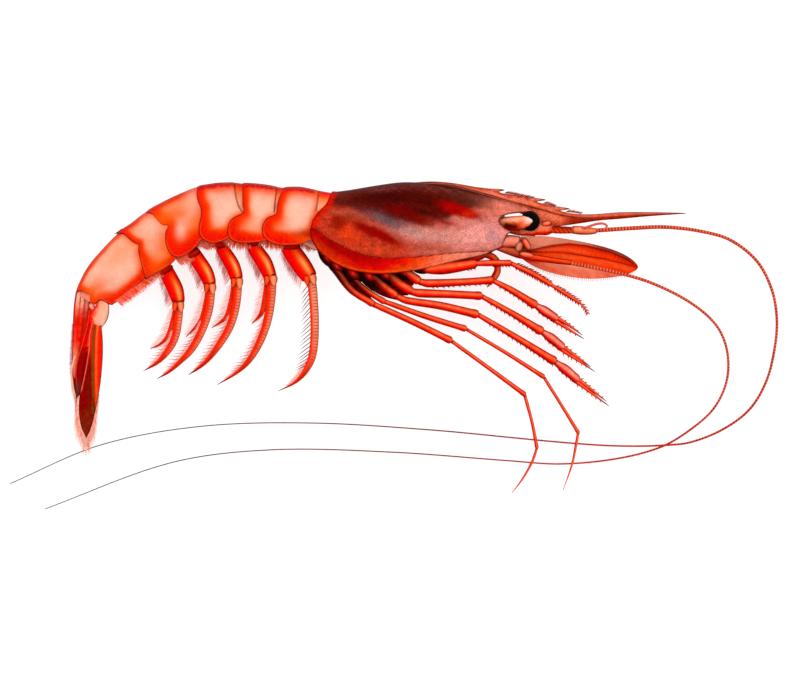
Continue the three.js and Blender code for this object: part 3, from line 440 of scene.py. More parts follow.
# The eye's black, glossy skin: nearly even, with a faint honeycomb of facets.
def corneaFinish():
    material, tree, shader = newMaterial("cornea")
    facets = addNode(tree, "ShaderNodeTexVoronoi", {"Scale": cornea["facets"]})
    wire(tree, addNode(tree, "ShaderNodeTexCoord"), "Object", facets, "Vector")
    colourBetween(tree, facets, "Distance", cornea["dark"], cornea["light"], shader)
    addRelief(tree, facets, "Distance", cornea["relief"], reliefHeight / 2, shader)
    setInputs(shader, {"Roughness": 0.16, "IOR": 1.06})
    return material


finish = {name: shellFinish(name) for name in finishes}
finish["cornea"] = corneaFinish()
print("finishes ready")


# The head shell is one arch from margin to margin over the back.
headShell = {
    "halfWidth": 12.2,
    "wall": 0.45,
    "squareness": 2.25,
    "overrun": 1.08,  # the section would close this much below the lower margin
    "arch": 156.5,  # degrees from the back to the lower margin
    "back": [[-31, 10.8], [-21.8, 11.5], [-16, 12.2], [-7.7, 13.6], [0, 14.6], [6, 14.55], [16, 13.4],
        [25.6, 11.2], [32, 9.4], [38.4, 7.7], [46, 5.8]],
    "belly": [[-31, -5.6], [-25.6, -7.7], [-21.8, -10.6], [-16.6, -13.1], [-11.5, -14.2], [-5.8, -14.6],
        [0.6, -14.1], [7.7, -13], [16, -11], [27.8, -8.3], [33.6, -6.4], [46, -3.6]],
    "width": [[-31, 0.8], [-20, 0.92], [-8, 0.99], [4, 1], [16, 0.9], [26, 0.75], [33, 0.56], [36, 0.46],
        [39, 0.34], [42, 0.2], [46, 0.08]],
    "rearMargin": [[-21.8, 11.5], [-23.7, 7.5], [-26.2, 5.1], [-28, 2.6], [-28.8, -0.6], [-28.3, -3.5],
        [-26.2, -7.1], [-25.4, -7.9]],
    "frontMargin": [[27.8, -8.3], [30, -7.25], [31.8, -6.45], [33, -5.7], [33.5, -3.8], [34.2, -2.2],
        [35.9, -1.1], [33.4, 0], [32, 1.3], [31.7, 2.6], [32.6, 3.8], [35.2, 4.6], [38.6, 5], [42, 5.6],
        [45.6, 5.9]],
    # cheekLine: where the red lower band starts
    "cheekLine": [[-27.2, -0.3], [-22.4, -3.8], [-16, -7], [-9.6, -9.1], [-3.2, -9.8], [3.2, -9.4],
        [9.6, -8.8], [16, -8], [27.2, -7.4]],
    "bandHeight": 0.35,  # how far the lower band stands proud
    # darkLine: the back is dark above this line
    "darkLine": [[-30, 9], [-25, 8.2], [-21.4, 7], [-17, 6.2], [-13.4, 4.8], [-9.6, 4], [-5.8, 2.9],
        [-1.9, 2], [1.9, 1.2], [5.8, 0.6], [9.6, 0.9], [13.4, 2], [17.3, 3.4], [21, 4.6], [24, 6.6],
        [29, 7.6], [34, 9], [46, 12]],
    "ridge": [[-22, 5.4], [-15.6, 5.1], [-11.3, 3.1], [-9.2, 1.3], [-6, 0.2], [-3.3, -0.9], [0.4, -2.7]],
    "band": [  # x, colour of the lower band under the cheek line, colour at its rim
        [-28, (182, 26, 10), (218, 60, 32)], [-21, (166, 12, 4), (238, 62, 24)],
        [-14, (168, 5, 2), (240, 44, 14)], [-6, (200, 9, 3), (244, 40, 12)],
        [2, (244, 44, 18), (255, 88, 46)], [8, (252, 84, 50), (255, 104, 62)],
        [16, (255, 136, 104), (255, 156, 126)], [27, (250, 158, 142), (250, 156, 136)],
    ],
}
headBack, headBelly = through(headShell["back"]), through(headShell["belly"])
headWidth = through(headShell["width"])


# Superellipse section at x: q is 1 on the back and -1 at the lower margin, side the sign of Z.
def headAt(x, q, side):
    middle, half = (headBack(x) + headBelly(x)) / 2, (headBack(x) - headBelly(x)) / 2
    level = np.where(q < 0, q / headShell["overrun"], q)
    out = np.maximum(1 - np.abs(level) ** headShell["squareness"], 0) ** (1 / headShell["squareness"])
    out = out * headShell["halfWidth"] * headWidth(x) * (1 - 0.1 * level)
    return np.stack([x, middle + half * q, middleHeight(x) + side * out], -1)


# x of a margin as a function of the level q, from its points in side view.
def marginByLevel(points):
    points = np.array(points, float)
    middle = (headBack(points[:, 0]) + headBelly(points[:, 0])) / 2
    half = (headBack(points[:, 0]) - headBelly(points[:, 0])) / 2
    level = np.clip((points[:, 1] - middle) / half, -1, 1)
    order = np.argsort(level, kind="stable")
    level, x = level[order], points[order, 0]
    keep = np.concatenate([[True], np.diff(level) > 1e-3])
    return lambda q: np.interp(q, level[keep], x[keep])


# Directions square to a grid of points, away from the points inside it.
def gridNormals(grid, inside):
    normal = np.cross(np.gradient(grid, axis=0), np.gradient(grid, axis=1))
    normal /= np.maximum(np.linalg.norm(normal, axis=-1), 1e-9)[..., None]
    return normal * np.sign(((grid - inside) * normal).sum(-1))[..., None]


def headTint(points):
    x, y = points[:, 0], points[:, 1]
    cheek = lineHeight(headShell["cheekLine"], x)
    below = cheek - y
    rough = drift(points, 3.1, 4) * 0.4 + drift(points, 7.5, 5) * 0.6
    speck = drift(points, 1.3, 6)
    moved = np.c_[x + rough * 0.5, y + rough * 0.4]
    dark = moved[:, 1] - lineHeight(headShell["darkLine"], x)
    rear = distanceTo(points, headShell["rearMargin"])
    front = distanceTo(points, headShell["frontMargin"][:13])
    ridge = distanceTo(moved, headShell["ridge"])
    onBack = headBack(x) - y
    tint = layered(
        (190, 54, 36),
        (speck * 0.55, (134, 54, 40)),
        (-speck * 0.35, (224, 98, 76)),
        (ease(moved[:, 0], -2, 12) * 0.95, (206, 98, 78)),
        (patch(moved, -16.4, -1.8, 4.4, 2.9, -30) * 0.85, (232, 68, 38)),
        (patch(moved, 24.5, -2, 13, 5.4, 2), (244, 158, 148)),
        (patch(moved, 25.6, 2.6, 4, 1.3, -20) * 0.3, (176, 122, 124)),
        (patch(moved, 30, -2.6, 2.8, 2, -40) * 0.5, (196, 140, 152)),
        (edged(patch(moved, 10.4, -5.6, 6.5, 2, -6)) * 0.6, (180, 64, 42)),
        (patch(moved, 6, -1.7, 10, 2.2, -10), (214, 146, 134)),
        (patch(moved, -15.5, 4.2, 5.6, 1.6, -12) * 0.8, (158, 54, 38)),
        (ease(dark, -1, 1.8), (88, 12, 7)),
        (speck * ease(dark, 0.4, 2.4) * 0.35, (132, 40, 28)),
        (patch(moved, -3.6, 2.1, 8.8, 1.8, -20), (108, 68, 68)),
        (patch(moved, -4.6, 2.6, 5, 0.9, -16) * 0.8, (96, 80, 84)),
        (patch(moved, 3.6, -1.4, 4.5, 1.3, -20) * 0.6, (204, 140, 132)),
        # a painted highlight along the ridge
        (bell(ridge, 0, 0.75) * 0.6, (186, 84, 62)),
        (edged(patch(moved, -7.4, -1.9, 9.6, 1.9, -25)), (152, 20, 8)),
        (patch(moved, -11.4, 0.4, 3, 0.9, -30) * 0.5, (120, 16, 8)),
        (edged(patch(moved, -19.9, 1.7, 2.9, 2.6, 20)) * 0.8, (140, 20, 9)),
        (edged(patch(moved, 3.4, 4.2, 9, 1.7, -23)) * 0.8, (112, 8, 4)),
        (edged(patch(moved, 10.4, 3.6, 6.2, 1, -24)), (60, 6, 4)),
        (patch(moved, 14.6, 1.4, 6.4, 1.5, -10) * 0.8, (166, 52, 42)),
        (edged(patch(moved, 19.2, 5.6, 8.2, 2, -18)) * 0.95, (170, 17, 7)),
        (patch(moved, 22, 4.6, 2.4, 1.3, -10) * 0.5, (216, 48, 28)),
        (edged(patch(moved, 20.5, 9, 7.5, 1.9, -16)) * 0.8, (84, 26, 16)),
        (patch(moved, 27, 8.4, 5.5, 1.9, -14) * 0.9, (124, 56, 44)),
        (patch(moved, 34, 6.6, 5.4, 2.4, -14), (232, 128, 108)),
        # paler towards the front end, painted light against the shade of the shell's steep sides there
        (ease(x, 37.5, 41), (255, 142, 116)),
        (patch(moved, -4, 9.9, 12, 2.1, 0) * 0.8, (58, 4, 3)),
        (patch(moved, 9, 8.2, 4, 1.5, -20) * 0.6, (60, 6, 4)),
        (patch(moved, -5.4, 12.6, 7, 1, 4) * (0.25 + 0.3 * speck), (134, 76, 74)),
        (patch(moved, -6, -7.2, 7, 1.6, -6) * 0.35, (240, 84, 46)),
        (patch(moved, 12.4, 12.4, 10, 1.3, -8) * (0.2 + 0.3 * speck), (140, 78, 66)),
        (patch(moved, -19.5, 10.2, 4.5, 1.8, 12) * 0.5, (116, 44, 30)),
        (ease(2.7 - rear + 0.3 * rough, 0, 2.4) * (below < 2) * 0.9, (228, 34, 12)),
        (ease(-onBack, -0.9, -0.1) * 0.6, (56, 10, 6)),
    )
    width = np.maximum(cheek - headBelly(x), 0.4)
    depth = np.clip(below / width + 0.1 * rough, 0, 1)  # 0 at the top of the lower band, 1 at the rim
    at, *bandTones = zip(*headShell["band"])
    upper, lower = (readAt(x, at, np.array([tone(*colour) for colour in column])) for column in bandTones)
    share = ease(depth, 0.2, 0.95)[:, None]
    tint = layered(tint, (ease(below, -0.1, 0.3), upper * (1 - share) + lower * share))
    toRim = y - headBelly(x)
    return layered(
        tint,
        (bell(toRim, 0.55, 0.35) * ease(x, -24, -14) * 0.4, (255, 118, 60)),
        (bell(below, 0, 0.2), (112, 6, 3)),
        (bell(front, 0, 0.32), (92, 10, 6)),
        (bell(rear, 0, 0.28), (120, 8, 4)),
        (bell(toRim, -0.05, 0.26), (112, 8, 4)),
    )


def headShellShape():
    rows, columns = 221, 150
    turn = np.radians(np.linspace(-headShell["arch"], headShell["arch"], rows))[:, None]
    level = signedPower(np.cos(turn), 2 / headShell["squareness"])
    q = np.clip(np.where(level < 0, level * headShell["overrun"], level), -1, 1)
    s = np.linspace(0, 1, columns)[None, :]
    s = s - 0.35 * np.sin(2 * np.pi * s) / (2 * np.pi)
    start, stop = marginByLevel(headShell["rearMargin"])(q), marginByLevel(headShell["frontMargin"])(q)
    x = start + (stop - start) * s
    q = np.broadcast_to(q, x.shape)
    side = np.where(turn < 0, -1.0, 1.0)
    grid = headAt(x, q, side)
    normal = gridNormals(grid, np.stack([x, (headBack(x) + headBelly(x)) / 2, middleHeight(x)], -1))
    flat = grid.reshape(-1, 3)
    below = lineHeight(headShell["cheekLine"], flat[:, 0]) - flat[:, 1]
    rear = distanceTo(flat, headShell["rearMargin"])
    front = distanceTo(flat, headShell["frontMargin"][:13])
    rim = flat[:, 1] - headBelly(flat[:, 0])
    raised = (
        headShell["bandHeight"] * ease(below, -0.15, 0.5) * ease(rim, -0.2, 2.5)
        - 0.22 * bell(below, -0.25, 0.35)
        + 0.22 * bell(rear, 0.5, 0.7) + 0.25 * bell(front, 0.45, 0.6) + 0.2 * bell(rim, 0.35, 0.55)
        + 0.3 * bell(distanceTo(flat, headShell["ridge"]), 0, 1) - 0.3 * patch(flat, -7.4, -1.9, 9, 1.5, -25)
        + 0.3 * patch(flat, 18.6, 5.7, 8, 2.2, -19) - 0.3 * patch(flat, 8, 4.4, 9, 1.2, -24)
        + 0.2 * patch(flat, 3.4, 3.6, 9, 1.6, -22) - 0.25 * patch(flat, -3, 2.4, 8, 1.6, -18)
    ).reshape(x.shape)[..., None]
    outer = grid + normal * raised
    inner = grid - normal * headShell["wall"]
    outer[..., 2], inner[..., 2] = np.maximum(outer[..., 2], 0), np.maximum(inner[..., 2], 0.1)
    tint = headTint(outer.reshape(-1, 3))
    innerTint = np.broadcast_to(tone(196, 84, 60), tint.shape)
    return closedShell(outer, inner, tint, innerTint)


# The long toothed spine is a blade, thickest along a rib, with a thin crest above it.
spine = {
    "top": [[2, 14.35], [9.6, 14.9], [16.6, 14.45], [24.3, 13.15], [30.2, 12.35], [31.6, 11.6], [33, 11.1],
        [38.4, 10.35], [42.4, 9.45], [43.6, 8.5], [45, 8], [49, 7.15], [50.2, 6.3], [51.2, 5.6],
        [54.4, 4.75], [60.8, 4.4], [70.4, 5.05], [80, 5.1], [89.6, 4.9], [91.5, 4.75]],
    "rib": [[2, 14.2], [4.8, 14.15], [16, 13.75], [25.6, 11.5], [32, 9.6], [38.4, 7.75], [44.8, 6.1],
        [51.2, 4.25], [57.6, 3.45], [64, 3.75], [76.8, 4.5], [91.5, 4.7]],
    "bottom": [[2, 12.6], [16, 11.6], [25.6, 9], [32, 7], [36, 5.4], [38.6, 4.6], [40.4, 3.6], [42.5, 2.2],
        [44.8, 1.3], [47.7, 0.6], [50.6, 0.55], [54.4, 1], [64, 2.4], [70.4, 2.9], [76.8, 3.5], [83.2, 4],
        [91.5, 4.56]],
    "halfWidth": [[2, 2.6], [16, 3], [24, 2.9], [32, 2.7], [38.4, 2.5], [46, 2], [54, 1.45], [64, 1.05],
        [80, 0.65], [91.5, 0.16]],
    "teeth": [  # root behind, root in front, tip, in side view
        [[24.6, 12.35], [30.4, 11.5], [33.5, 12.15]],
        [[38.2, 9.55], [43, 8.6], [46.7, 9]],
        [[46.4, 6.9], [50.6, 5.8], [54.4, 6.1]],
    ],
    "tip": 91.5,
}


def spineShape():
    count, sides = 300, 56
    x = np.linspace(2, spine["tip"], count)[:, None]
    turn = circle(sides)[None, :]
    v = signedPower(np.cos(turn), 0.9)
    top, rib, bottom = (through(spine[key])(x) for key in ("top", "rib", "bottom"))
    high, low = np.maximum(top - rib, 0.05), np.maximum(rib - bottom, 0.05)
    edge = np.sqrt(np.maximum(1 - np.abs(v) ** 6, 0))
    upper = 0.2 * edge + 0.62 * np.maximum(1 - v, 0) ** 1.7
    lower = 0.22 * edge + 0.66 * np.maximum(1 - np.abs(v), 0) ** 0.8
    rise = np.where(v > 0, v * high, v * low)
    ribBump = 0.18 * np.exp(-((rise / 0.3) ** 2))
    wide = through(spine["halfWidth"])(x) * (np.where(v > 0, upper, lower) + ribBump)
    y = rib + rise
    face = np.sign(np.sin(turn)) * (np.abs(np.sin(turn)) > 1e-6)
    rings = np.stack([np.broadcast_to(x, y.shape), y, middleHeight(x) + face * wide], -1)
    flat = rings.reshape(-1, 3)
    along, height = flat[:, 0], (rise + 0 * x).ravel()
    topGap, bottomGap = (high - rise).ravel(), (low + rise).ravel()
    rough = drift(flat, 2.4, 11)
    lit = ease(along, 44, 49) * ease(60 - along, 0, 6)
    tint = layered(
        (236, 112, 84),
        (ease(topGap - 0.3 * rough, 0.2, 1.4) * ease(height, 0.2, 0.9) * 0.6, (236, 138, 112)),
        (ease(1.3 - topGap + 0.3 * rough, 0, 1.1) * (height > 0) * 0.75, (186, 48, 28)),
        (bell(height, 0.5, 0.45) * ease(along, 36, 44) * ease(-along, -60, -52) * 0.7, (244, 92, 52)),
        (ease(-along, -22, -6) * 0.95, (112, 44, 32)),
        (ease(-height, 0.1, 0.8) * ease(-along, -34, -24) * 0.85, (150, 74, 56)),
        (ease(-height, 0.1, 0.5) * ease(along, 30, 38), (218, 96, 70)),
        (ease(-height - 0.2 * rough, 0.1, 0.6) * ease(along, 41, 46), (255, 128, 98)),
        (lit * bell(bottomGap, 0.9, 1) * (height < 0) * 0.8, (255, 104, 60)),
        (ease(along, 52, 60) * ease(height, -0.3, 0.2) * 0.9, (226, 112, 88)),
        (ease(along, 50, 56) * ease(-height, -0.05, 0.4), (186, 50, 28)),
        (ease(along, 52, 58) * bell(bottomGap, 0.1, 0.5) * (height < 0) * 0.7, (120, 16, 8)),
        (bell(rough, 0.4, 0.3) * ease(along, 34, 40) * 0.15, (160, 24, 12)),
        (bell(height, 0, 0.17) * ease(along, 8, 18) * ease(-along, -66, -52), (84, 12, 6)),
        # a painted highlight just under the rib line
        (bell(height, -0.45, 0.25) * ease(along, 12, 20) * ease(-along, -44, -36) * 0.6, (240, 140, 112)),
        (bell(topGap, 0, 0.2) * 0.9, (96, 18, 10)),
        (bell(bottomGap, 0, 0.2) * 0.8, (120, 22, 12)),
        (ease(along, 82, 91) * 0.6, (110, 34, 26)),
    )
    return closedRings(rings, tint)


# A tooth: a curved cone laid along the crest, flattened to the blade's thickness, with a dark hooked tip.
def toothShape(behind, ahead, tip):
    behind, ahead, tip = (np.array(p, float) for p in (behind, ahead, tip))
    t = np.linspace(0, 1, 16)[:, None]
    root = (behind + ahead) / 2 - np.array([0, 0.2])
    bend = ahead * 0.6 + tip * 0.4 + np.array([0, 0.35])
    line = (1 - t) ** 2 * root + 2 * t * (1 - t) * bend + t**2 * tip
    wide = 0.85 * (1 - t[:, 0]) ** 0.8 + 0.05
    thick = 0.55 * (1 - t[:, 0]) ** 0.6 + 0.05
    path = np.c_[line, middleHeight(line[:, 0]), wide, thick]

    def dress(along, whole, across, over, points):
        return layered(
            (230, 122, 94),
            (ease(across, 0.5, 1), (120, 26, 14)),
            (ease(-across, 0.4, 0.95) * ease(along / whole, 0.2, 0.5), (50, 8, 5)),
            (ease(along / whole, 0.6, 0.9), (70, 14, 8)),
        )

    return sweep(path, 14, dress, 0.4)


makePiece(
    "head_shell", [headShellShape(), spineShape(), *[toothShape(*tooth) for tooth in spine["teeth"]]],
    "headShell", ["carapace"],
)
print("head shell and spine made")


# Leaf: a thin blade between two edge lines in side view, from base to tip. The share w across runs from -1 on
# the first edge to 1 on the second; ribs are [w, half width, height] ridges on both faces.
def leaf(first, second, height, thick, ribs, dress, count=90, around=64):
    t = np.linspace(0, 1, count)
    edges = []
    for line in (first, second):
        dense = smoothLine(line, 0.1)
        run = runOf(dense)
        edges.append(readAt(t * run[-1], run, dense))
    turn = circle(around)
    w, face = np.cos(turn)[None, :, None], np.sin(turn)[None, :]
    xy = edges[0][:, None] * (1 - w) / 2 + edges[1][:, None] * (1 + w) / 2
    swell = signedPower(face, 0.6) * thick
    for at, width, rise in ribs:
        swell = swell + np.sign(face) * rise * bell(w[..., 0], at, width) * np.minimum(1, 4 * np.abs(face))
    taper = np.minimum(1, np.minimum(8 * t + 0.3, 6 * (1 - t) + 0.15))[:, None]
    rings = np.concatenate([xy, (height(xy[..., 0], t[:, None]) + swell * taper)[..., None]], -1)
    spread = lambda v: np.broadcast_to(v, rings.shape[:2]).ravel()
    return closedRings(rings, dress(spread(t[:, None]), spread(w[..., 0]), rings.reshape(-1, 3)))


# The tail rings are arches of shell, and each slides under the one ahead.
tailBody = {
    "halfWidth": 9.7,
    "squareness": 2.25,
    "overrun": 1.3,
    # stations: back x, y, belly x, y, width share; from under the head shell to the last ring's end
    "stations": [[-17.6, 11.2, -17.6, -5.8, 0.99], [-26.2, 12.2, -25, -6.1, 1], [-32, 13.2, -32.6, -5.6, 1],
        [-38.1, 13.3, -40, -5.1, 0.99], [-44.2, 14.1, -46.4, -4.7, 0.99], [-50.2, 14.6, -51.8, -4.8, 0.99],
        [-57, 14.6, -57, -4.9, 0.97], [-64.3, 13.6, -61.4, -5, 0.95], [-69.4, 11.5, -65.6, -6.4, 0.92],
        [-75.2, 8.8, -69.8, -9.3, 0.88], [-81, 5.6, -74.2, -12.5, 0.84], [-85.8, 1.8, -78, -14.7, 0.79],
        [-90.2, -1.3, -81.6, -16.4, 0.74], [-95, -6.4, -84.8, -18.7, 0.69],
        [-99.8, -12.2, -88.3, -21.8, 0.64], [-103, -18.2, -91.8, -24.8, 0.59],
        [-104.3, -22.1, -94.7, -27.2, 0.56]],
}
tailLine = through([[i, *row] for i, row in enumerate(tailBody["stations"])])


# Point of the tail at station u and level q: q is 1 on the back line and -1 on the belly line.
def tailAt(u, q, side, grow=1.0):
    row = tailLine(u)
    back, belly, share = row[..., 0:2], row[..., 2:4], row[..., 4]
    middle, half = (back + belly) / 2, (back - belly) / 2
    level = np.where(q < 0, q / tailBody["overrun"], q)
    out = np.maximum(1 - np.abs(level) ** tailBody["squareness"], 0) ** (1 / tailBody["squareness"])
    flat = middle + half * np.asarray(q * grow)[..., None]
    z = middleHeight(flat[..., 0]) + side * out * share * tailBody["halfWidth"] * grow
    return np.concatenate([flat, z[..., None]], -1)


# Station and level of points in side view: of many close stations, the one whose line passes nearest.
def tailPlace(points):
    u = np.linspace(0, len(tailBody["stations"]) - 1, 3201)
    row = tailLine(u)
    middle, half = (row[:, 0:2] + row[:, 2:4]) / 2, (row[:, 0:2] - row[:, 2:4]) / 2
    away = np.array(points, float)[:, None] - middle[None]
    q = (away * half).sum(-1) / (half**2).sum(-1)
    miss = np.linalg.norm(away - q[..., None] * half, axis=-1) + 5 * np.maximum(np.abs(q) - 1.35, 0)
    best = miss.argmin(1)
    return np.c_[u[best], q[np.arange(len(best)), best]]


# Each ring's rear edge runs from the back down to its lower corner, and its lower edge from the head end back
# to that corner. "covered" is how many points of the margin ahead it runs under, and "strip" is the line
# where the strip that slides under that margin ends. "glow" is the reach of the red from the rear edge, with
# what the side plate adds to it, from the lower edge, the front and the back, then the strength of the salmon
# in the middle, of the dark on the back and of the glow along the strip. Spots: x, y, two half sizes, turn,
# strength, colour.
tailRings = [{
    "rear": [[-36.5, 16], [-37.1, 13.1], [-38.6, 9.9], [-39.4, 7], [-39.7, 4.6], [-42.2, 3.4], [-43.7, 1.6],
        [-44.2, -0.6], [-43.6, -2.8], [-41.6, -4.6], [-38.4, -5.6]],
    "lower": [[-25.6, -3.4], [-29, -3.9], [-30.4, -4.8], [-33.6, -5.5], [-38.4, -5.6]],
    "covered": 7,
    "strip": [[-25.8, 14], [-26.1, 11.8], [-26.3, 9], [-26.9, 5.6]],
    "glow": [(3, 1.2), 4, 1.5, 3, 0.1, 1, 0.7],
    "spots": [[-31, -2, 3.6, 1.6, 0, 0.5, "brown"], [-30.4, -3.6, 3.6, 1.2, -10, 0.5, "orange"]],
}, {
    "rear": [[-50.2, 17], [-50.3, 14.6], [-50.4, 10.6], [-50.4, 7.4], [-50.2, 5], [-52.5, 3.8], [-54.4, 2.2],
        [-55.2, 0], [-55, -2.2], [-53.9, -3.9], [-51.2, -4.9]],
    "lower": [[-41.4, -3.5], [-43.5, -4.3], [-48, -4.8], [-51.2, -4.9]],
    "covered": 9,
    "strip": [[-39.2, 16], [-39.4, 13.1], [-39.7, 10.6], [-40, 8], [-40.2, 5.1]],
    "glow": [(2.8, 1.8), 3, 1.2, 2.8, 0.12, 1, 0.2],
    "spots": [[-47.6, 1.4, 2.4, 2.2, 0, 0.5, "salmon"]],
}, {
    "rear": [[-65.2, 16], [-65, 13.1], [-65.1, 10.9], [-64.6, 8.3], [-63.7, 6.1], [-63.8, 3.5], [-64.4, 0.6],
        [-64.2, -1.9], [-63, -3.7], [-60.2, -5]],
    "lower": [[-52.6, -2.6], [-54.9, -3.5], [-57, -4.4], [-60.2, -5]],
    "covered": 9,
    "strip": [[-53, 17], [-53, 14.4], [-52.6, 10.6], [-51.8, 7.4], [-50.4, 5]],
    "glow": [(3.6, 1.2), 3.6, 1.2, 2.8, 0.15, 1, 0.15],
}, {
    "rear": [[-84, 6.5], [-81.3, 5], [-79.4, 4.5], [-78.1, 3], [-76.2, 1.1], [-74.2, 0.8], [-75, -1.3],
        [-75.1, -4.5], [-74.1, -7.4], [-72.5, -9], [-70.4, -9.5]],
    "lower": [[-61.6, -2.3], [-63.6, -4], [-65, -5.8], [-67.2, -7.8], [-70.4, -9.5]],
    "covered": 8,
    "glow": [(4.2, 2), 4.4, 3.4, 2, 2, 0.45],
    "spots": [
        [-75, 3.6, 5.2, 2.6, 28, 0.75, "orange"], [-70.4, 4.4, 2.8, 2, 0, 0.75, "orange"],
        [-70.2, -0.6, 1.5, 3, 0, 0.8, "pale"], [-66.2, 8.6, 2.4, 3.6, 0, 0.6, "pale"],
        [-69, -6.2, 3, 2.2, -40, 0.5, "red"],
    ],
}, {
    "rear": [[-94, -1], [-91.2, -1.8], [-88.6, -1.9], [-86.7, -3.5], [-85.1, -4.8], [-83.8, -5.3],
        [-83.7, -7.7], [-82.9, -11.2], [-82.1, -14.1], [-81.3, -16.4]],
    "lower": [[-71.8, -7.4], [-71.6, -9.8], [-73, -11.4], [-75.4, -13], [-78.6, -14.7], [-81.3, -16.4]],
    "covered": 9,
    "glow": [(2.4, 1.5), 2.6, 3, 1.6, 1.3, 0.45],
    "spots": [[-79.2, 0.6, 3.4, 3, -30, 0.8, "pale"], [-77.6, -10.6, 3.4, 4, -30, 0.6, "orange"]],
}, {
    "rear": [[-106, -20.6], [-103.7, -20.8], [-102.4, -20], [-100.8, -20.8], [-99.4, -21.4], [-99, -23.7],
        [-97.9, -24.5], [-97, -23.8], [-96, -22.9], [-94.4, -23.8], [-92.2, -24.7]],
    "lower": [[-80.2, -13.6], [-82, -16.4], [-86.4, -20.2], [-89.8, -23], [-92.2, -24.7]],
    "covered": 9,
    "glow": [(2.2, 1.4), 2.8, 1.8, 1.3, 0.5, 0.4],
    "spots": [
        [-89.6, -8, 6.5, 3.4, 48, 0.75, "salmon"], [-92.2, -16.6, 4.2, 2.6, 40, 0.7, "pale"],
        [-97.4, -19.4, 4.4, 3, 30, 0.8, "orange"],
    ],
}]
ringLook = {
    "slide": [[2.6, 0], [2.6, 0], [2.6, 0], [2.2, 0.5], [2, 1.3], [1.6, 1.5]],  # how far each runs forwards
    "tuck": 0.036,  # how much narrower a ring is where it runs under the one ahead
    "arch": 146,  # degrees from the back to the lower edge
    "wall": 0.2,
    "halfHeight": 9.4,
    "colours": {
        "pale": (253, 190, 166), "salmon": (250, 156, 116), "orange": (255, 104, 50), "red": (252, 40, 6),
        "deep": (214, 16, 2), "brown": (140, 22, 10), "line": (84, 2, 0),
    },
}


# A margin in side view as dense (station, level) pairs at shares t of its length, starting on the back line.
def marginPlaces(points, t):
    dense = smoothLine(points, 0.08)
    place = tailPlace(dense)
    start = int(np.argmax(place[:, 1] <= 1))
    dense, place = dense[start:], place[start:].copy()
    place[0, 1] = 1
    run = runOf(dense)
    return readAt(t * run[-1], run, place)


# Distance in side view from points to a smooth line.
def awayFrom(points, line):
    return distanceTo(points, smoothLine(line, 0.5))


# A ring is pale in the middle and glows red along its margins; the back is red with brown speckles.
def ringTint(points, level, index, front):
    ring, colours = tailRings[index], ringLook["colours"]
    pale, salmon, orange, red, deep, brown, line = (colours[name] for name in colours)
    rear, lower, ahead = (awayFrom(points, edge) for edge in (ring["rear"], ring["lower"], front))
    (rearReach, plateReach), lowerReach, frontReach, backReach, middle, dark, *along = ring["glow"]
    rough = drift(points, 4.5, 30 + index) * 0.5
    fine = drift(points, 1.2, 60 + index)
    back = (1 - level) * ringLook["halfHeight"]
    lobe = ease(-level, -0.1, 0.6)  # towards the side plate
    fade = lambda away, core, reach: np.exp(-(np.maximum(away + rough * 0.4 - core, 0) / reach) ** 2)
    rearGlow = fade(rear, 0.2 + 0.8 * lobe, rearReach + plateReach * lobe)
    lowerGlow = fade(lower, 0.6, lowerReach)
    frontGlow = fade(ahead, 0.0, frontReach)
    backGlow = fade(back, 0.6, backReach)
    edge = 1 - (1 - rearGlow) * (1 - lowerGlow)
    rim = np.minimum(rear, lower)
    tint = layered(
        pale,
        (middle * (0.5 + 0.5 * rough), salmon),
        (ease(edge, 0, 0.5) * 0.5, salmon),
        (ease(edge, 0.15, 0.85), orange),
        (frontGlow * 0.9, orange),
        (backGlow * 0.85, orange),
        (ease(edge, 0.4, 1) * 0.9, red),
        (ease(lobe, 0.3, 1) * edge**4 * (0.3 + 0.4 * fine), deep),
        (backGlow**2 * 0.75, red),
        (ease(2.0 - back + 0.3 * fine, 0, 1.2) * dark, deep),
        (ease(1.4 - back + 0.5 * fine, 0, 0.9) * (0.4 + 0.5 * fine) * dark, brown),
        # a faint pale line just inside the rim on the side plates, a painted highlight
        (bell(rim, 0.42, 0.16) * 0.2 * ease(lobe, 0.2, 0.7), salmon),
        (bell(rim, 0, 0.26), line),
        (ease(0.34 - back, 0, 0.3) * 0.55, line),
    )
    if "strip" in ring:
        strip = awayFrom(points, ring["strip"])
        beyond = aheadOf(points, ring["strip"])
        tint = layered(
            tint,
            (bell(strip, 0.3, 1) * (beyond <= 0) * along[0], orange),
            (ease(beyond, 0.1, 0.4), salmon),
            (ease(beyond, 0.1, 0.4) * ease(5.5 - back, 0, 4), orange),
            (ease(beyond, 0.1, 0.4) * ease(3.0 - back, 0, 2.5), red),
            (ease(beyond, 0.1, 0.4) * ease(1.2 - back + 0.3 * fine, 0, 1) * 0.6, brown),
            (bell(strip, 0, 0.22), line),
        )
    spots = ring.get("spots", [])
    return layered(tint, *((patch(points, *spot) * share, colours[name]) for *spot, share, name in spots))


# How far points lie headward of a line in side view, for a line that runs down from the back.
def aheadOf(points, line):
    line = np.array(line, float)[::-1]
    inside = ease(points[:, 1], line[0, 1] - 0.2, line[0, 1] + 0.4)
    return (points[:, 0] - np.interp(points[:, 1], line[:, 1], line[:, 0])) * inside


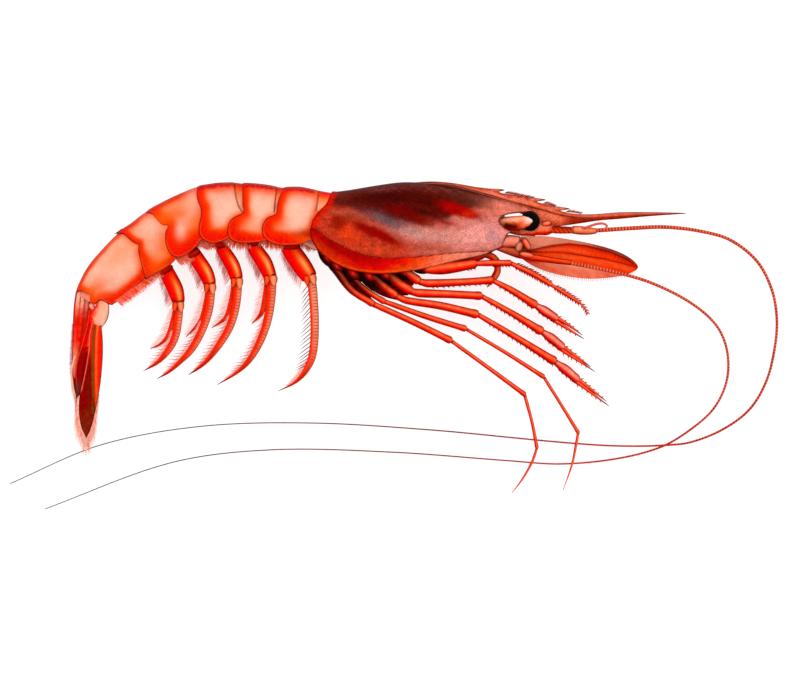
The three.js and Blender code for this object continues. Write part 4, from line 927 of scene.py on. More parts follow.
# A ring's shell over shares v across the arch and s from its front edge to its rear edge: a patch stretched
# between its four margins, with raised rims, over an inner wall.
def ringShape(index):
    ring = tailRings[index]
    ahead = np.array(headShell["rearMargin"][:8] if index == 0 else tailRings[index - 1]["rear"], float)
    front = ahead[: ring["covered"]] + ringLook["slide"][index]
    front[0, 1] += 3
    front = np.vstack([front[:-1], ring["lower"][0]])
    if index == 0:
        front = np.vstack([front[0] + [0, 2], front])
    rows, columns = 121, 66
    v = np.linspace(-1, 1, rows)
    arch = np.radians(ringLook["arch"])
    t = (1 - np.cos(arch * np.abs(v))) / (1 - np.cos(arch))
    s = np.linspace(0, 1, columns)
    s = s - 0.3 * np.sin(2 * np.pi * s) / (2 * np.pi)
    frontPlace, rearPlace = marginPlaces(front, t), marginPlaces(ring["rear"], t)
    lowDense = smoothLine(ring["lower"], 0.1)
    lowRun = runOf(lowDense)
    low = readAt(s, lowRun / lowRun[-1], tailPlace(lowDense))
    low += (1 - s)[:, None] * (frontPlace[-1] - low[0]) + s[:, None] * (rearPlace[-1] - low[-1])
    start, stop = frontPlace[rows // 2, 0], rearPlace[rows // 2, 0]
    high = np.c_[start + (stop - start) * s, np.ones(columns)]
    # a Coons patch between the four margins in (station, level), over the share w of the way down
    w, share = np.abs(v)[:, None, None], s[None, :, None]
    between = lambda first, last: (1 - share) * first + share * last
    corners = (1 - w) * between(high[0], high[-1]) + w * between(low[0], low[-1])
    place = between(frontPlace[:, None], rearPlace[:, None]) + (1 - w) * high + w * low - corners
    side = np.where(v < 0, -1.0, 1.0)[:, None]
    grow = 1 - ringLook["tuck"] * (1 - ease(s[None, :], 0, 0.42))
    grid = tailAt(place[..., 0], place[..., 1], side, np.broadcast_to(grow, place.shape[:2]))
    row = tailLine(place[..., 0])
    heart = (row[..., 0:2] + row[..., 2:4]) / 2
    normal = gridNormals(grid, np.concatenate([heart, middleHeight(heart[..., 0])[..., None]], -1))
    flat = grid.reshape(-1, 3)
    rear = awayFrom(flat, ring["rear"])
    rim = np.minimum(rear, awayFrom(flat, ring["lower"]))
    high = ease(place[..., 1].ravel(), 0.75, 0.98)  # on the back the margin lies down instead of standing up
    raised = (0.08 * bell(rim, 0.4, 0.4) - 0.06 * bell(rim, 1.5, 0.6)) * (1 - high)
    raised -= 0.3 * np.exp(-rear / 0.5) * high
    raised += 0.05 * drift(flat, 5.5, 80 + index)
    if "strip" in ring:
        strip = awayFrom(flat, ring["strip"])
        raised += -0.12 * ease(aheadOf(flat, ring["strip"]), 0, 0.35) - 0.1 * bell(strip, 0, 0.25)
    outer = grid + normal * raised.reshape(grid.shape[:2])[..., None]
    inner = grid - normal * ringLook["wall"]
    tint = ringTint(outer.reshape(-1, 3), place[..., 1].ravel(), index, ahead)
    return closedShell(outer, inner, tint, np.broadcast_to(tone(*ringLook["colours"]["line"]), tint.shape))


# A sharp spine at a ring's rear edge, on the back.
def backSpine(root, tip, width):
    t = np.linspace(0, 1, 8)[:, None]
    line = np.array(root) * (1 - t) + np.array(tip) * t
    path = np.c_[line, middleHeight(line[:, 0]), width * (1 - t) + 0.04, width * (1 - t) + 0.04]

    def dress(along, whole, across, over, points):
        return layered((190, 60, 34), (ease(along / whole, 0.35, 0.8), (30, 6, 5)))

    return sweep(path, 8, dress, 0.3)


# The thin plate under the first ring's lower edge, pale with a dark line along its own edge.
membrane = {
    "first": [[-32.6, -4.4], [-30.6, -5.2], [-28.4, -6.5], [-26, -7.5]],
    "second": [[-32.6, -4], [-30.6, -3.9], [-28.4, -4.2], [-26, -5]],
    "away": 3,
    "thick": 0.2,
}
backSpines = {  # the ring each stands on, counted from 0: root, tip, half width
    3: ([-80, 5.2], [-81.2, 4.6], 0.3), 4: ([-88.8, -0.7], [-91.4, -1.95], 0.6),
    5: ([-102.8, -19.6], [-103.9, -21.2], 0.4),
}


def membraneDress(t, w, points):
    return layered(
        (255, 186, 164),
        (ease(w, -0.4, 0.6) * 0.7, (250, 110, 84)),
        (bell(w, -1, 0.16), (96, 16, 10)),
    )


def membraneShape(side):
    height = lambda x, t: middleHeight(x) + sign[side] * membrane["away"] + 0 * t
    return leaf(membrane["first"], membrane["second"], height, membrane["thick"], [], membraneDress, 24, 24)


for index in range(len(tailRings)):
    shapes = [ringShape(index)]
    if index == 0:
        shapes += [membraneShape(side) for side in sides]
    if index in backSpines:
        shapes.append(backSpine(*backSpines[index]))
    makePiece(f"tail_ring_{index + 1}", shapes, "ringShell", [f"abdomen_{index + 1}"])
print("tail rings made")


# The muscle that shows under the tail, in the joints and inside the head shell's openings.
flesh = {
    "share": 0.87,  # of the tail shells' size
    "from": 0.2, "to": 15.72,  # stations of the tail
    "low": 0.985,
    "headEnds": [-26.5, 33.8],
}


# A superellipse carried along the tail's stations, a little drawn in between the rings.
def tailFlesh():
    u = np.linspace(flesh["from"], flesh["to"], 90)[:, None]
    turn = circle(48)[None, :]
    power = 2 / tailBody["squareness"]
    level = signedPower(np.cos(turn), power)
    q = np.where(level < 0, level * flesh["low"], level)
    row = tailLine(u + 0 * turn)
    back, belly, share = row[..., 0:2], row[..., 2:4], row[..., 4]
    middle, half = (back + belly) / 2, (back - belly) / 2
    width = signedPower(np.sin(turn), power) * share * tailBody["halfWidth"] * flesh["share"]
    segment = 1 - 0.02 * np.abs(np.sin(np.pi * u / 1.15))
    xy = middle + half * (q * flesh["share"] * segment)[..., None]
    rings = np.concatenate([xy, (middleHeight(xy[..., 0]) + width * segment)[..., None]], -1)
    flat = rings.reshape(-1, 3)
    tint = layered(
        (240, 176, 154),
        (0.5 + 0.5 * drift(flat, 6, 21), (232, 128, 100)),
        (ease(-(q + 0 * u).ravel(), 0.55, 1) * 0.7, (226, 96, 72)),
        (ease((u + 0 * q).ravel(), 14.8, 15.6), (250, 140, 116)),
    )
    return closedRings(rings, tint)


# A superellipse within the head shell's back and belly lines, rounded off at both ends.
def headFlesh():
    rear, front = flesh["headEnds"]
    between = np.linspace(rear + 1.5, front - 2.6, 60)
    x = np.concatenate([[rear], between, [front - 1.2, front - 0.4, front]])[:, None]
    turn = circle(56)[None, :]
    power = 2 / headShell["squareness"]
    level = signedPower(np.cos(turn), power)
    shrink = 0.93 * np.sqrt(np.clip(1 - ((x - 3.4) / 30.6) ** 10, 0.02, 1))
    middle, half = (headBack(x) + headBelly(x)) / 2, (headBack(x) - headBelly(x)) / 2
    y = middle + half * level * shrink * np.where(level < 0, 0.9, 0.97)
    width = headShell["halfWidth"] * headWidth(x) * signedPower(np.sin(turn), power) * shrink
    rings = np.stack([np.broadcast_to(x, y.shape), y, middleHeight(x) + width], -1)
    flat = rings.reshape(-1, 3)
    # Dark red, near black along its lower part as painted shadow under the head shell, and pale at its front
    # end, where it fills the eye socket as a painted highlight.
    tint = layered(
        (120, 30, 22),
        (ease(flat[:, 0], 28, 31), (246, 214, 202)),
        (ease(-flat[:, 1], 6, 9) * ease(-flat[:, 0], -24, -18), (54, 12, 10)),
    )
    return closedRings(rings, tint)


makePiece("flesh", [tailFlesh(), headFlesh()], "flesh")
print("flesh made")


# Rounded lobe about a point: an ellipsoid, long way turned by an angle in side view.
def lobe(x, y, z, long, short, turn, thick, dress):
    t = np.sin(np.linspace(-0.5 * np.pi, 0.5 * np.pi, 15))[1:-1]
    rounding = np.sqrt(1 - t**2)
    c, s = np.cos(np.radians(turn)), np.sin(np.radians(turn))
    path = np.c_[x + t * long * c, y + t * long * s, np.full(len(t), z), rounding * short, rounding * thick]
    return sweep(path, 22, dress, 0)


# Colours of a limb: the painted shade along its edges and at its ends, a painted highlight (glow) along the
# middle of its upper face, and over its first stretch the root's colour, painted shade from the body above
# it.
def limbDress(body, shade, glow, ends=0.35, root=None, rootShadeLength=6.0):
    def dress(along, whole, across, over, points):
        fine = drift(points, 2.6, 17)
        tint = layered(
            body,
            (bell(across, 0.3, 0.34) * ease(over, -0.1, 0.6) * (0.8 + 0.2 * fine), glow),
            (ease(-across + 0.1 * fine, 0.25, 0.95), shade),
            (ease(across, 0.66, 0.96) * 0.9, shade),
            (bell(along, 0, ends) * 0.8, shade),
            (bell(along, whole, ends) * 0.8, shade),
        )
        if root is not None:
            # painted shade near the body: the root's colour, fading out along the first stretch
            fade = 1 - ease(along + 0.6 * fine, rootShadeLength * 0.4, rootShadeLength)
            tint = layered(tint, (fade * (0.72 + 0.28 * ease(-across, -0.4, 0.5)), root))
        return tint

    return dress


# Smooth path of one side through stations of x, y, height right, height left and half width. Where the left
# height is left out, the left one mirrors the right one.
def sidePath(stations, side, spacing):
    rows = []
    for x, y, height, *left, half in stations:
        if side == "left":
            height = left[0] if left else 2 * headMiddle - height
        rows.append([x, y, height, half, half])
    return smoothLine(rows, spacing)


def limb(stations, side, spacing, around, dress, roundness):
    return sweep(sidePath(stations, side, spacing), around, dress, roundness)


tailFan = {
    # telson: x, y, half width, half thickness
    "telson": [[-101.3, -18.2, 1.7, 2.6], [-101.4, -21, 2.3, 3.3], [-101.7, -25, 2.55, 3.4],
        [-102.1, -30, 2.45, 3.1], [-102.7, -36, 2.1, 2.5], [-103.4, -42, 1.4, 1.8], [-104, -46.5, 0.65, 1],
        [-104.1, -48, 0.15, 0.3]],
    "base": {
        "first": [[-96.3, -23], [-97.3, -24.6], [-99.1, -27.7], [-99.3, -29.4], [-98.6, -31.4]],
        "second": [[-95.9, -22.9], [-94.6, -23.5], [-93.3, -24.3], [-93.05, -24.8], [-93.2, -27.8],
            [-94.1, -30.2], [-95.7, -32.1]],
        "away": (4.4, 4.8), "thick": 1.35, "ribs": [[0.2, 0.35, 0.35]],
    },
    # knuckles: x, y, half length, half width, turn
    "knuckles": [[-98.5, -25.2, 1.4, 0.95, -60], [-98.9, -28.4, 2.4, 1.1, -80]],
    "inner": {
        "first": [[-99.5, -26.6], [-100.2, -31.4], [-101.6, -36.6], [-103.2, -42.1], [-103.8, -46],
            [-103.4, -50.7], [-102.6, -54]],
        "second": [[-97, -26.6], [-97.2, -32], [-98.1, -38], [-99.6, -45], [-101.4, -51], [-102.6, -54]],
        "away": (4.4, 3.4), "thick": 0.3, "ribs": [[-0.8, 0.1, 0.16], [0.6, 0.1, 0.16]],
    },
    "outer": {
        "first": [[-98.6, -30.4], [-99.5, -34.2], [-99.7, -39], [-100.7, -45.4], [-101.8, -50.6],
            [-102.6, -53.9], [-102.8, -58.8], [-102.1, -63.5], [-100.4, -67.4]],
        "second": [[-95.6, -30.4], [-95.1, -36], [-95.1, -41], [-95.5, -46.5], [-96.1, -51.5],
            [-97.5, -58.8], [-98.9, -64.2], [-100.4, -67.4]],
        "away": (5.6, 4.9), "thick": 0.36, "ribs": [[0.9, 0.1, 0.3], [-0.2, 0.1, 0.14]],
        "rib": [[-97.8, -31.6], [-98.2, -36], [-98.3, -42], [-98.3, -48], [-98.1, -54], [-98.2, -59]],
        "seam": [[-98.2, -54.6], [-98, -57], [-97.6, -59.4]],
    },
    "knuckleAway": 3.4,  # from the middle plane
    "leftSpread": 1.1,  # how much further the left blades spread than the right ones
}


# Pale ridges with dark grooves at the root, red further down, peach along the end.
def telsonDress(along, whole, across, over, points):
    fine = drift(points, 2.2, 31)
    pale = ease(-along - 1.2 * fine, -11, -4)
    ridges = 0.5 + 0.5 * np.cos(across * 10 + 0.3 * fine)
    return layered(
        (236, 26, 12),
        (ridges * (0.25 + 0.2 * fine), (255, 110, 84)),
        (pale * 0.95, (255, 176, 150)),
        ((1 - ridges) ** 3 * ease(-along, -24, -8) * 0.8, (240, 50, 30)),
        ((1 - ridges) ** 14 * ease(-along, -12, -4) * 0.8, (112, 12, 6)),
        (ease(along, 17, 24) * ease(-across, -0.5, 0.6) * 0.8, (255, 150, 110)),
        (ease(np.abs(across), 0.8, 1) * 0.8, (176, 14, 8)),
    )


telsonRows = [[x, y, middleHeight(x), wide, thick] for x, y, wide, thick in tailFan["telson"]]
telsonPath = smoothLine(telsonRows, 0.4)
fluted = lambda along, turn: 0.06 * np.cos(8 * turn) * (along > 1)


def innerDress(t, w, points):
    fine = drift(points, 1.4, 33)
    lower = ease(t + 0.05 * fine, 0.34, 0.54)
    return layered(
        (238, 34, 16),
        (bell(w, 0.1, 0.2) * 0.6 * (1 - lower), (255, 120, 96)),
        (ease(0.93 + w, 0, 0.06) * lower, (142, 4, 4)),
        (np.clip(0.25 + 0.4 * fine, 0, 1) * lower, (176, 8, 6)),
        (ease(t, 0.74, 0.92) * ease(0.93 + w, 0, 0.06), (112, 44, 34)),
        (bell(w, -0.95, 0.035) * 0.9, (250, 96, 70)),
        (ease(-w, 0.96, 1) * 0.7, (190, 24, 12)),
    )


# The outer blade: a bright band outside a dark rib, maroon within, with a pale margin towards the inner one.
def outerDress(t, w, points):
    fine, speck = drift(points, 1.2, 35), drift(points, 0.8, 36)
    blade = tailFan["outer"]
    ribLine = np.array(blade["rib"])[::-1]
    outside = points[:, 0] - np.interp(points[:, 1], ribLine[:, 1], ribLine[:, 0])
    rib, edge, inEdge, seam = (distanceTo(points, blade[key]) for key in ("rib", "second", "first", "seam"))
    deep = ease(t, 0.16, 0.4)
    band = ease(outside, 0.1, 0.5) * ease(-t, -0.82, -0.72)
    return layered(
        (222, 44, 24),
        (deep * ease(-outside, -0.2, 0.5), (128, 4, 4)),
        (deep * np.clip(0.2 + 0.4 * fine, 0, 1), (166, 10, 8)),
        (bell(outside, -1.5, 0.35) * ease(t, 0.35, 0.5) * 0.6, (86, 36, 12)),
        (ease(t, 0.72, 0.8), (140, 10, 6)),
        (ease(t, 0.68, 0.8) * np.clip(0.3 + 0.5 * speck, 0, 1), (104, 56, 30)),
        (band, (252, 46, 16)),
        # a painted highlight along the middle of the bright band
        (band * bell(outside, 1, 0.45) * (0.7 - 0.4 * t), (255, 120, 70)),
        (bell(rib, 0, 0.42) * 0.9, (108, 72, 28)),
        (bell(outside, 0.45, 0.16) * band * 0.7, (130, 14, 6)),
        (bell(seam, 0, 0.2), (70, 8, 4)),
        (bell(inEdge, 0.18, 0.16) * ease(-t, -0.62, -0.56), (255, 110, 80)),
        (bell(edge, 0, 0.26), (110, 6, 3)),
        (bell(inEdge, 0, 0.2) * ease(t, 0.56, 0.62), (96, 6, 4)),
    )


def fanBlade(key, side, dress):
    blade = tailFan[key]
    first, last = blade["away"]
    spread = tailFan["leftSpread"] if side == "left" else 0
    outer = [[x - spread * ease(-y, 32, 44), y] for x, y in blade["first"]]
    height = lambda x, t: middleHeight(x) + sign[side] * (first + (last - first) * t)
    return leaf(outer, blade["second"], height, blade["thick"], blade["ribs"], dress)


# The fan's base: pale salmon, red along its rear edge and dark where the blade joins it.
def baseDress(t, w, points):
    fine = drift(points, 1.6, 37)
    return layered(
        (255, 172, 140),
        (bell(w, 0.6, 0.3) * (0.5 + 0.3 * fine), (255, 200, 176)),
        (ease(-w + 0.2 * fine, 0.1, 0.75), (248, 46, 24)),
        (bell(t, 0.05, 0.16) * 0.6, (255, 120, 84)),
        (ease(w, 0.84, 0.95), (110, 8, 4)),
        (ease(t, 0.92, 0.98), (110, 8, 4)),
        (ease(-t, -0.06, 0), (150, 16, 8)),
    )


knuckleDresses = [
    limbDress((255, 170, 150), (246, 90, 60), (255, 190, 172)),
    limbDress((244, 40, 22), (190, 16, 8), (250, 90, 60)),
]
makePiece("telson", [sweep(telsonPath, 40, telsonDress, 0.6, fluted)], "blade", ["telson"])
for side in sides:
    knuckles = [
        lobe(x, y, middleHeight(x) + sign[side] * tailFan["knuckleAway"], long, short, turn, 1, dress)
        for (x, y, long, short, turn), dress in zip(tailFan["knuckles"], knuckleDresses)
    ]
    base = fanBlade("base", side, baseDress)
    inner, outer = fanBlade("inner", side, innerDress), fanBlade("outer", side, outerDress)
    makeSided("fan_base", side, [base, *knuckles], "limbShell", "uropod_base")
    makeSided("fan_inner", side, [inner], "blade", "uropod_endopod")
    makeSided("fan_outer", side, [outer], "blade", "uropod_exopod")
print("tail fan made")


eyes = {
    "centre": (41.65, 2.2, 4),
    "radius": 3.25,
    # stalk: x, y, distance from the middle plane, half width, half thickness
    "stalk": [[31.6, 1.95, 3.6, 1.3, 1.5], [33.2, 1.7, 3.9, 1.9, 2.1], [35.4, 1.5, 4.1, 2.25, 2.7],
        [37.8, 1.6, 4.3, 2.3, 3.1], [40, 1.95, 4.4, 2.1, 3.7], [41.4, 2.15, 4.4, 1.65, 3.75],
        [42.1, 2.25, 4.4, 1.05, 3.4]],
}


# A ball, a little flattened from front to rear, in rings from its outer pole to its inner one.
def eyeShape(side):
    x, y, away = eyes["centre"]
    z = middleHeight(x) + sign[side] * away
    rows = np.linspace(0, np.pi, 42)[1:-1, None]
    turn = circle(64)[None, :]
    r = eyes["radius"]
    across, up = 0.95 * r * np.sin(rows) * np.cos(turn), r * np.sin(rows) * np.sin(turn)
    rings = np.stack([x + across, y + up, z + r * np.cos(rows) + 0 * turn], -1)
    return closedRings(rings, np.broadcast_to(tone(14, 12, 13), rings.shape))


# The eyestalk: orange, with a painted highlight along its upper side, painted shade along its lower half and
# lower middle, and a pale tip by the eye, a painted highlight.
def stalkDress(along, whole, across, over, points):
    fine = drift(points, 1.5, 41)
    middle = ease(along, 1.2, 2.6) * ease(whole - along, 3.2, 5.6)
    return layered(
        (255, 112, 68),
        (bell(across, 0.5, 0.3) * ease(over, 0, 0.5) * 0.85, (255, 186, 150)),
        (ease(-along, -2.6, -0.6) * 0.85, (255, 146, 108)),
        (ease(0.25 * fine - across, -0.2, 0.3) * middle, (128, 8, 2)),
        (bell(across, -0.3, 0.4) * bell(along / whole, 0.34, 0.16), (70, 2, 0)),
        (ease(-across + 0.1 * fine, 0.6, 0.9) * 0.9, (206, 40, 22)),
        (ease(-across, 0.84, 1), (84, 8, 4)),
        (ease(along, whole - 3.6, whole - 1) * ease(across, -0.6, 0) * 0.95, (255, 226, 214)),
        (ease(across, 0.84, 1) * 0.9, (104, 18, 8)),
        (bell(along, 0, 0.3), (110, 14, 8)),
    )


for side in sides:
    stations = eyes["stalk"]
    rows = [[x, y, middleHeight(x) + sign[side] * away, wide, thick] for x, y, away, wide, thick in stations]
    stalk = sweep(smoothLine(rows, 0.2), 36, stalkDress, 0.5)
    makeSided("eye", side, [eyeShape(side)], "cornea")
    makeSided("eyestalk", side, [stalk], "limbShell")
print("eyes made")


# Stations: x, y, height of the right one, height of the left one where it isn't the mirrored one, half width.
feelers = {
    "stem": [
        [[38.6, -1.45, 13.6, 1.1], [41.5, -1.15, 13.8, 1.4], [43.6, -0.55, 14, 1.85],
            [45.6, -0.3, 14.1, 2.1], [47.4, -0.25, 14.2, 2], [48.3, -0.3, 14.2, 1.6]],
        [[47.8, -0.5, 14.3, 1.1], [50.4, -0.6, 14.3, 1.2], [53, -0.65, 14.2, 1.15],
            [55.2, -0.7, 14.2, 1.05]],
        [[55.4, -0.6, 14.2, 1.25], [57.6, -0.75, 14.2, 1.4], [60.6, -0.95, 14.2, 1.2],
            [62.6, -0.95, 14.2, 0.9]],
    ],
    "band": [[33.2, -0.7, 13.3, 0.4], [36, -1.15, 13.4, 0.8], [39, -1.65, 13.6, 0.85], [43, -2, 13.8, 0.6]],
    "curl": [[57.2, -0.5, 14.5, 0.52], [58.8, -0.1, 15.3, 0.44], [60.8, 0.6, 15.9, 0.4], [63, 1.3, 16, 0.4],
        [65, 1.4, 15.9, 0.38], [66.2, 0.7, 15.8, 0.34], [65.7, -0.1, 15.7, 0.2]],
    "base": [
        [[32.2, -4.3, 15.2, 1.8], [35, -4.3, 16.2, 2.1], [38, -4.5, 16.6, 2]],
        [[31.2, -6.6, 15.4, 0.6], [34.6, -7.2, 16.2, 1.3], [38.4, -8.2, 16.8, 1.6], [41, -8.9, 16.8, 1.2]],
    ],
    # lobes: x, y, height of the right one, half length, half width, turn, half thickness
    "stemLobe": [46.9, 1.3, 15.4, 1.75, 1, 12, 1.2],
    "baseLobes": [[40.4, -5.2, 17.6, 2.3, 1.25, -60, 1.3], [38.3, -6, 18.4, 1.75, 1.35, 70, 1.1],
        [40.6, -8.7, 19, 2.5, 1.05, -10, 0.9]],
    "peduncle": [[38.2, -8.6, 17.6, 1.1], [41, -9.2, 18.2, 1.15], [46, -9.9, 18.6, 1],
        [50, -10.5, 18.6, 5.3, 0.95], [54.5, -11.1, 18.5, 0.8]],
    "scale": {
        "first": [[38.6, -2.7], [44.8, -2.6], [49.6, -3], [56, -4], [62.4, -5.3], [67.2, -6.6], [71, -8.1],
            [73.8, -9.7], [75.6, -11.3], [76.2, -12.3], [76.2, -12.6]],
        "second": [[37.4, -8.6], [41.6, -11.6], [46.4, -13.7], [51.2, -15], [56, -15.8], [60.8, -16.2],
            [65.6, -16], [69.8, -15.5], [73, -14.7], [75.2, -13.7], [76.1, -12.9], [76.2, -12.6]],
        "height": 14.6,  # of the right one
        "arch": 0.9,  # how far its middle rises
        "thick": 0.3, "ribs": [[-0.42, 0.06, 0.3], [-0.02, 0.06, 0.26], [0.3, 0.05, 0.12]],
        "upperRib": [[40, -7.6], [42.4, -6.9], [48.5, -5.6], [53.9, -5], [59.6, -5.6], [67.2, -7.5],
            [72.9, -10], [76, -12.2]],
        "middleRib": [[40, -7.9], [43.6, -7.7], [51.5, -7.8], [57.6, -8.6], [65.3, -9.9], [70, -11],
            [75, -12.3]],
    },
}
whips = {
    # antennule: x, y, radius, and where they are lifted, lift of the left one and of the right one
    "antennule": [[62.7, -0.8, 0.72, 8.9, 11.7], [73.6, -0.1, 0.7, 7.4, 9.9], [84.8, 0.3, 0.65, 5.3, 7.4],
        [96, -1, 0.58, 3.1, 4.6], [105.6, -3.8, 0.54, 1.2, 2.1], [114.2, -10.6, 0.5, 0.2, 0.5],
        [119, -19.8, 0.47], [120.6, -29.4, 0.45], [119.8, -39, 0.43], [117.1, -49.3, 0.41],
        [111.7, -58.2, 0.4], [103, -64.6, 0.37, 0.1, 0.1], [92.8, -68.6, 0.35, 1.4, 1.4],
        [84.8, -69.5, 0.33, 2.1, 2.1], [75.2, -69.8, 0.3, 1.2, 1.2], [64, -69.5, 0.28, 0.2, 0.2],
        [46.4, -68.1, 0.25], [9.6, -64.6, 0.21], [-28.8, -62.4, 0.18], [-64, -63.5, 0.16],
        [-96, -69.5, 0.15], [-124.8, -81.8, 0.13]],
    "antenna": [[54.7, -11.3, 0.62, 4.7, 16.5], [67.2, -13.8, 0.58, 3.9, 15.7], [80, -17.4, 0.53, 2.7, 13.6],
        [92.8, -23.8, 0.47, 1.4, 9.2], [101.1, -31, 0.44, 0.5, 4.8], [104.6, -39, 0.42, 0, 1.7],
        [104.6, -48.6, 0.4, 0, 0.2], [100.5, -57.6, 0.37], [92.8, -64.6, 0.35], [83.2, -70.2, 0.33],
        [68.8, -73.9, 0.3], [51.2, -75.5, 0.26], [35.2, -74.5, 0.23], [-3.2, -71.7, 0.2], [-41.6, -71, 0.18],
        [-73.6, -75.2, 0.16], [-113.6, -89.9, 0.13]],
    "pitch": 1.02,  # length of one ring of a whip
    "restGap": 0.32,  # the right whip lies this far over the left one
}


# A whip's path for one side: it rests on the surface, or on the other side's whip, but where it is lifted.
def whipPath(line, side, spacing):
    path = smoothLine([[*row, 0, 0][:5] for row in line], spacing)
    radius, lift = path[:, 2], np.maximum(path[:, 3 if side == "left" else 4], 0)
    rest = radius + 0.02 if side == "left" else 3 * radius + whips["restGap"]
    return np.c_[path[:, :2], rest + lift, radius, radius]


def whipDress(along, whole, across, over, points):
    ringed = wave(along, whips["pitch"])
    share = along / whole
    fine = drift(points, 9, 51)
    base = layered(
        (240, 62, 36),
        (ease(share, 0.05, 0.3) * 0.8, (222, 36, 24)),
        (ease(share, 0.4, 0.62), (128, 38, 34)),
        (ease(share, 0.62, 0.9), (74, 58, 56)),
    )
    return layered(
        base,
        # lighter between the dark rings on the upper side and on the top face: painted highlight
        (ease(across, -0.6, 0.2) * (1 - ringed) * ease(-share, -0.42, -0.16), (255, 146, 116)),
        (ease(over, 0.2, 0.9) * (1 - ringed) * 0.35 * ease(-share, -0.6, -0.3), (255, 120, 90)),
        (ringed**1.5 * 0.95 * ease(-share, -0.8, -0.3), (128, 8, 4)),
        (np.clip(fine, 0, 1) * 0.25, base * 0.5),
    )


def whipShape(key, side):
    path = whipPath(whips[key], side, whips["pitch"] / 4)
    return sweep(path, 8, whipDress, 0.6, lambda along, turn: -0.07 * wave(along, whips["pitch"]) + 0 * turn)


# The feeler's scale: beige above its upper rib, bright red between the ribs, pale salmon below them.
def scaleDress(t, w, points):
    fine, speck = drift(points, 2, 43), drift(points, 0.9, 44)
    x, y = points[:, 0], points[:, 1]
    scale = feelers["scale"]
    upper, middle = (y - lineHeight(scale[key], x) for key in ("upperRib", "middleRib"))
    fromTop = distanceTo(points, scale["first"])
    return layered(
        (253, 150, 116),
        (ease(w, 0.25, 0.9) * (0.6 + 0.3 * fine), (242, 76, 52)),
        (bell(w, 0.36, 0.1) * (0.4 + 0.2 * fine), (255, 190, 164)),
        (ease(middle, -3.8, -3), (252, 62, 28)),
        (bell(middle, -1.3, 0.9) * (0.6 + 0.3 * fine), (255, 104, 62)),
        (ease(middle, -0.1, 0.3) * 0.9, (250, 66, 36)),
        (bell(middle, 1, 0.6) * ease(-x, -66, -56) * 0.5, (255, 110, 70)),
        (bell(upper, -0.9, 0.7) * ease(t, 0.3, 0.8) * (0.4 + 0.35 * speck), (206, 20, 8)),
        (np.clip(speck, 0, 1) * ease(middle, -0.2, 0.6) * 0.4, (176, 16, 8)),
        (bell(upper, -0.1, 0.55) * 0.9, (126, 20, 8)),
        (ease(upper, 0.1, 0.5), (232, 138, 112)),
        (ease(upper, 0.1, 0.5) * ease(-x, -46, -41), (255, 150, 120)),
        (ease(upper, 0.2, 0.6) * ease(x, 46, 58) * (0.55 + 0.3 * speck), (176, 96, 66)),
        (bell(middle, 0, 0.2), (116, 14, 6)),
        (ease(1.6 - fromTop, 0, 1.4) * ease(x, 58, 66) * 0.85, (110, 10, 5)),
        (ease(t, 0.86, 1) * 0.5, (240, 52, 26)),
        (ease(np.abs(w), 0.965, 1), (96, 12, 6)),
    )


# The stem's first joint: salmon above, red along its lower edge.
def stemDress(along, whole, across, over, points):
    fine = drift(points, 1.4, 45)
    return layered(
        (250, 124, 88),
        (bell(across, 0.5, 0.3) * (0.4 + 0.3 * fine), (255, 168, 134)),
        (ease(-across + 0.2 * fine, 0.1, 0.6), (242, 38, 18)),
        (ease(along, whole - 1.6, whole - 0.6) * 0.6, (190, 30, 14)),
        (ease(-across, 0.86, 1), (104, 8, 4)),
        (ease(across, 0.88, 1) * 0.8, (150, 40, 20)),
    )


def striped(along, whole, across, over, points):
    hatch = wave(along + across, 1 / 0.7)
    return layered(
        (240, 70, 40),
        (ease(across, -0.2, 0.6) * 0.7, (120, 20, 10)),
        (hatch**2 * 0.85, (120, 14, 6)),
        (ease(np.abs(across), 0.75, 1), (84, 8, 4)),
    )


def banded(along, whole, across, over, points):
    ring = wave(along, 0.75)
    return layered(
        (248, 120, 108),
        (ring**2 * 0.8, (150, 24, 18)),
        (ease(np.abs(across), 0.7, 1) * 0.8, (176, 40, 34)),
    )


beige = limbDress((248, 124, 98), (122, 26, 14), (255, 160, 138))
tan = limbDress((206, 112, 76), (70, 8, 4), (236, 150, 110), 0.55)
brownRed = limbDress((186, 66, 42), (96, 10, 6), (226, 104, 76))
redLobe = limbDress((246, 76, 44), (80, 6, 2), (255, 150, 120), 0.55)
redBand = limbDress((250, 70, 50), (150, 14, 8), (255, 130, 100))
orangeJoint = limbDress((252, 116, 72), (126, 20, 10), (255, 168, 128))
redStalk = limbDress((226, 44, 20), (92, 6, 4), (252, 96, 56))
for side in sides:
    high = lambda z: headMiddle + sign[side] * (z - headMiddle)
    sideLobe = lambda row, dress: lobe(*row[:2], high(row[2]), *row[3:], dress)
    stem, base, scale = feelers["stem"], feelers["base"], feelers["scale"]
    makeSided("antennule", side, [
        limb(stem[0], side, 0.25, 30, stemDress, 0.4),
        limb(feelers["band"], side, 0.25, 18, redBand, 0.7),
        sideLobe(feelers["stemLobe"], redLobe),
        limb(stem[1], side, 0.25, 24, striped, 0.4),
        limb(stem[2], side, 0.25, 24, orangeJoint, 0.5),
        limb(feelers["curl"], side, 0.15, 10, banded, 0.6),
    ], "limbShell")
    makeSided("antenna_base", side, [
        limb(base[0], side, 0.25, 30, beige, 0.3),
        limb(base[1], side, 0.25, 20, brownRed, 0.6),
        *map(sideLobe, feelers["baseLobes"], (redLobe, tan, redLobe)),
        limb(feelers["peduncle"], side, 0.3, 24, redStalk, 0.7),
    ], "limbShell")
    arched = lambda x, t: 0 * x + high(scale["height"]) + sign[side] * scale["arch"] * np.sin(np.pi * t)
    blade = leaf(scale["first"], scale["second"], arched, scale["thick"], scale["ribs"], scaleDress, 150, 96)
    makeSided("antenna_scale", side, [blade], "ringShell")
    for key in ("antennule", "antenna"):
        makeSided(f"{key}_whip", side, [whipShape(key, side)], "whip")
print("feelers made")


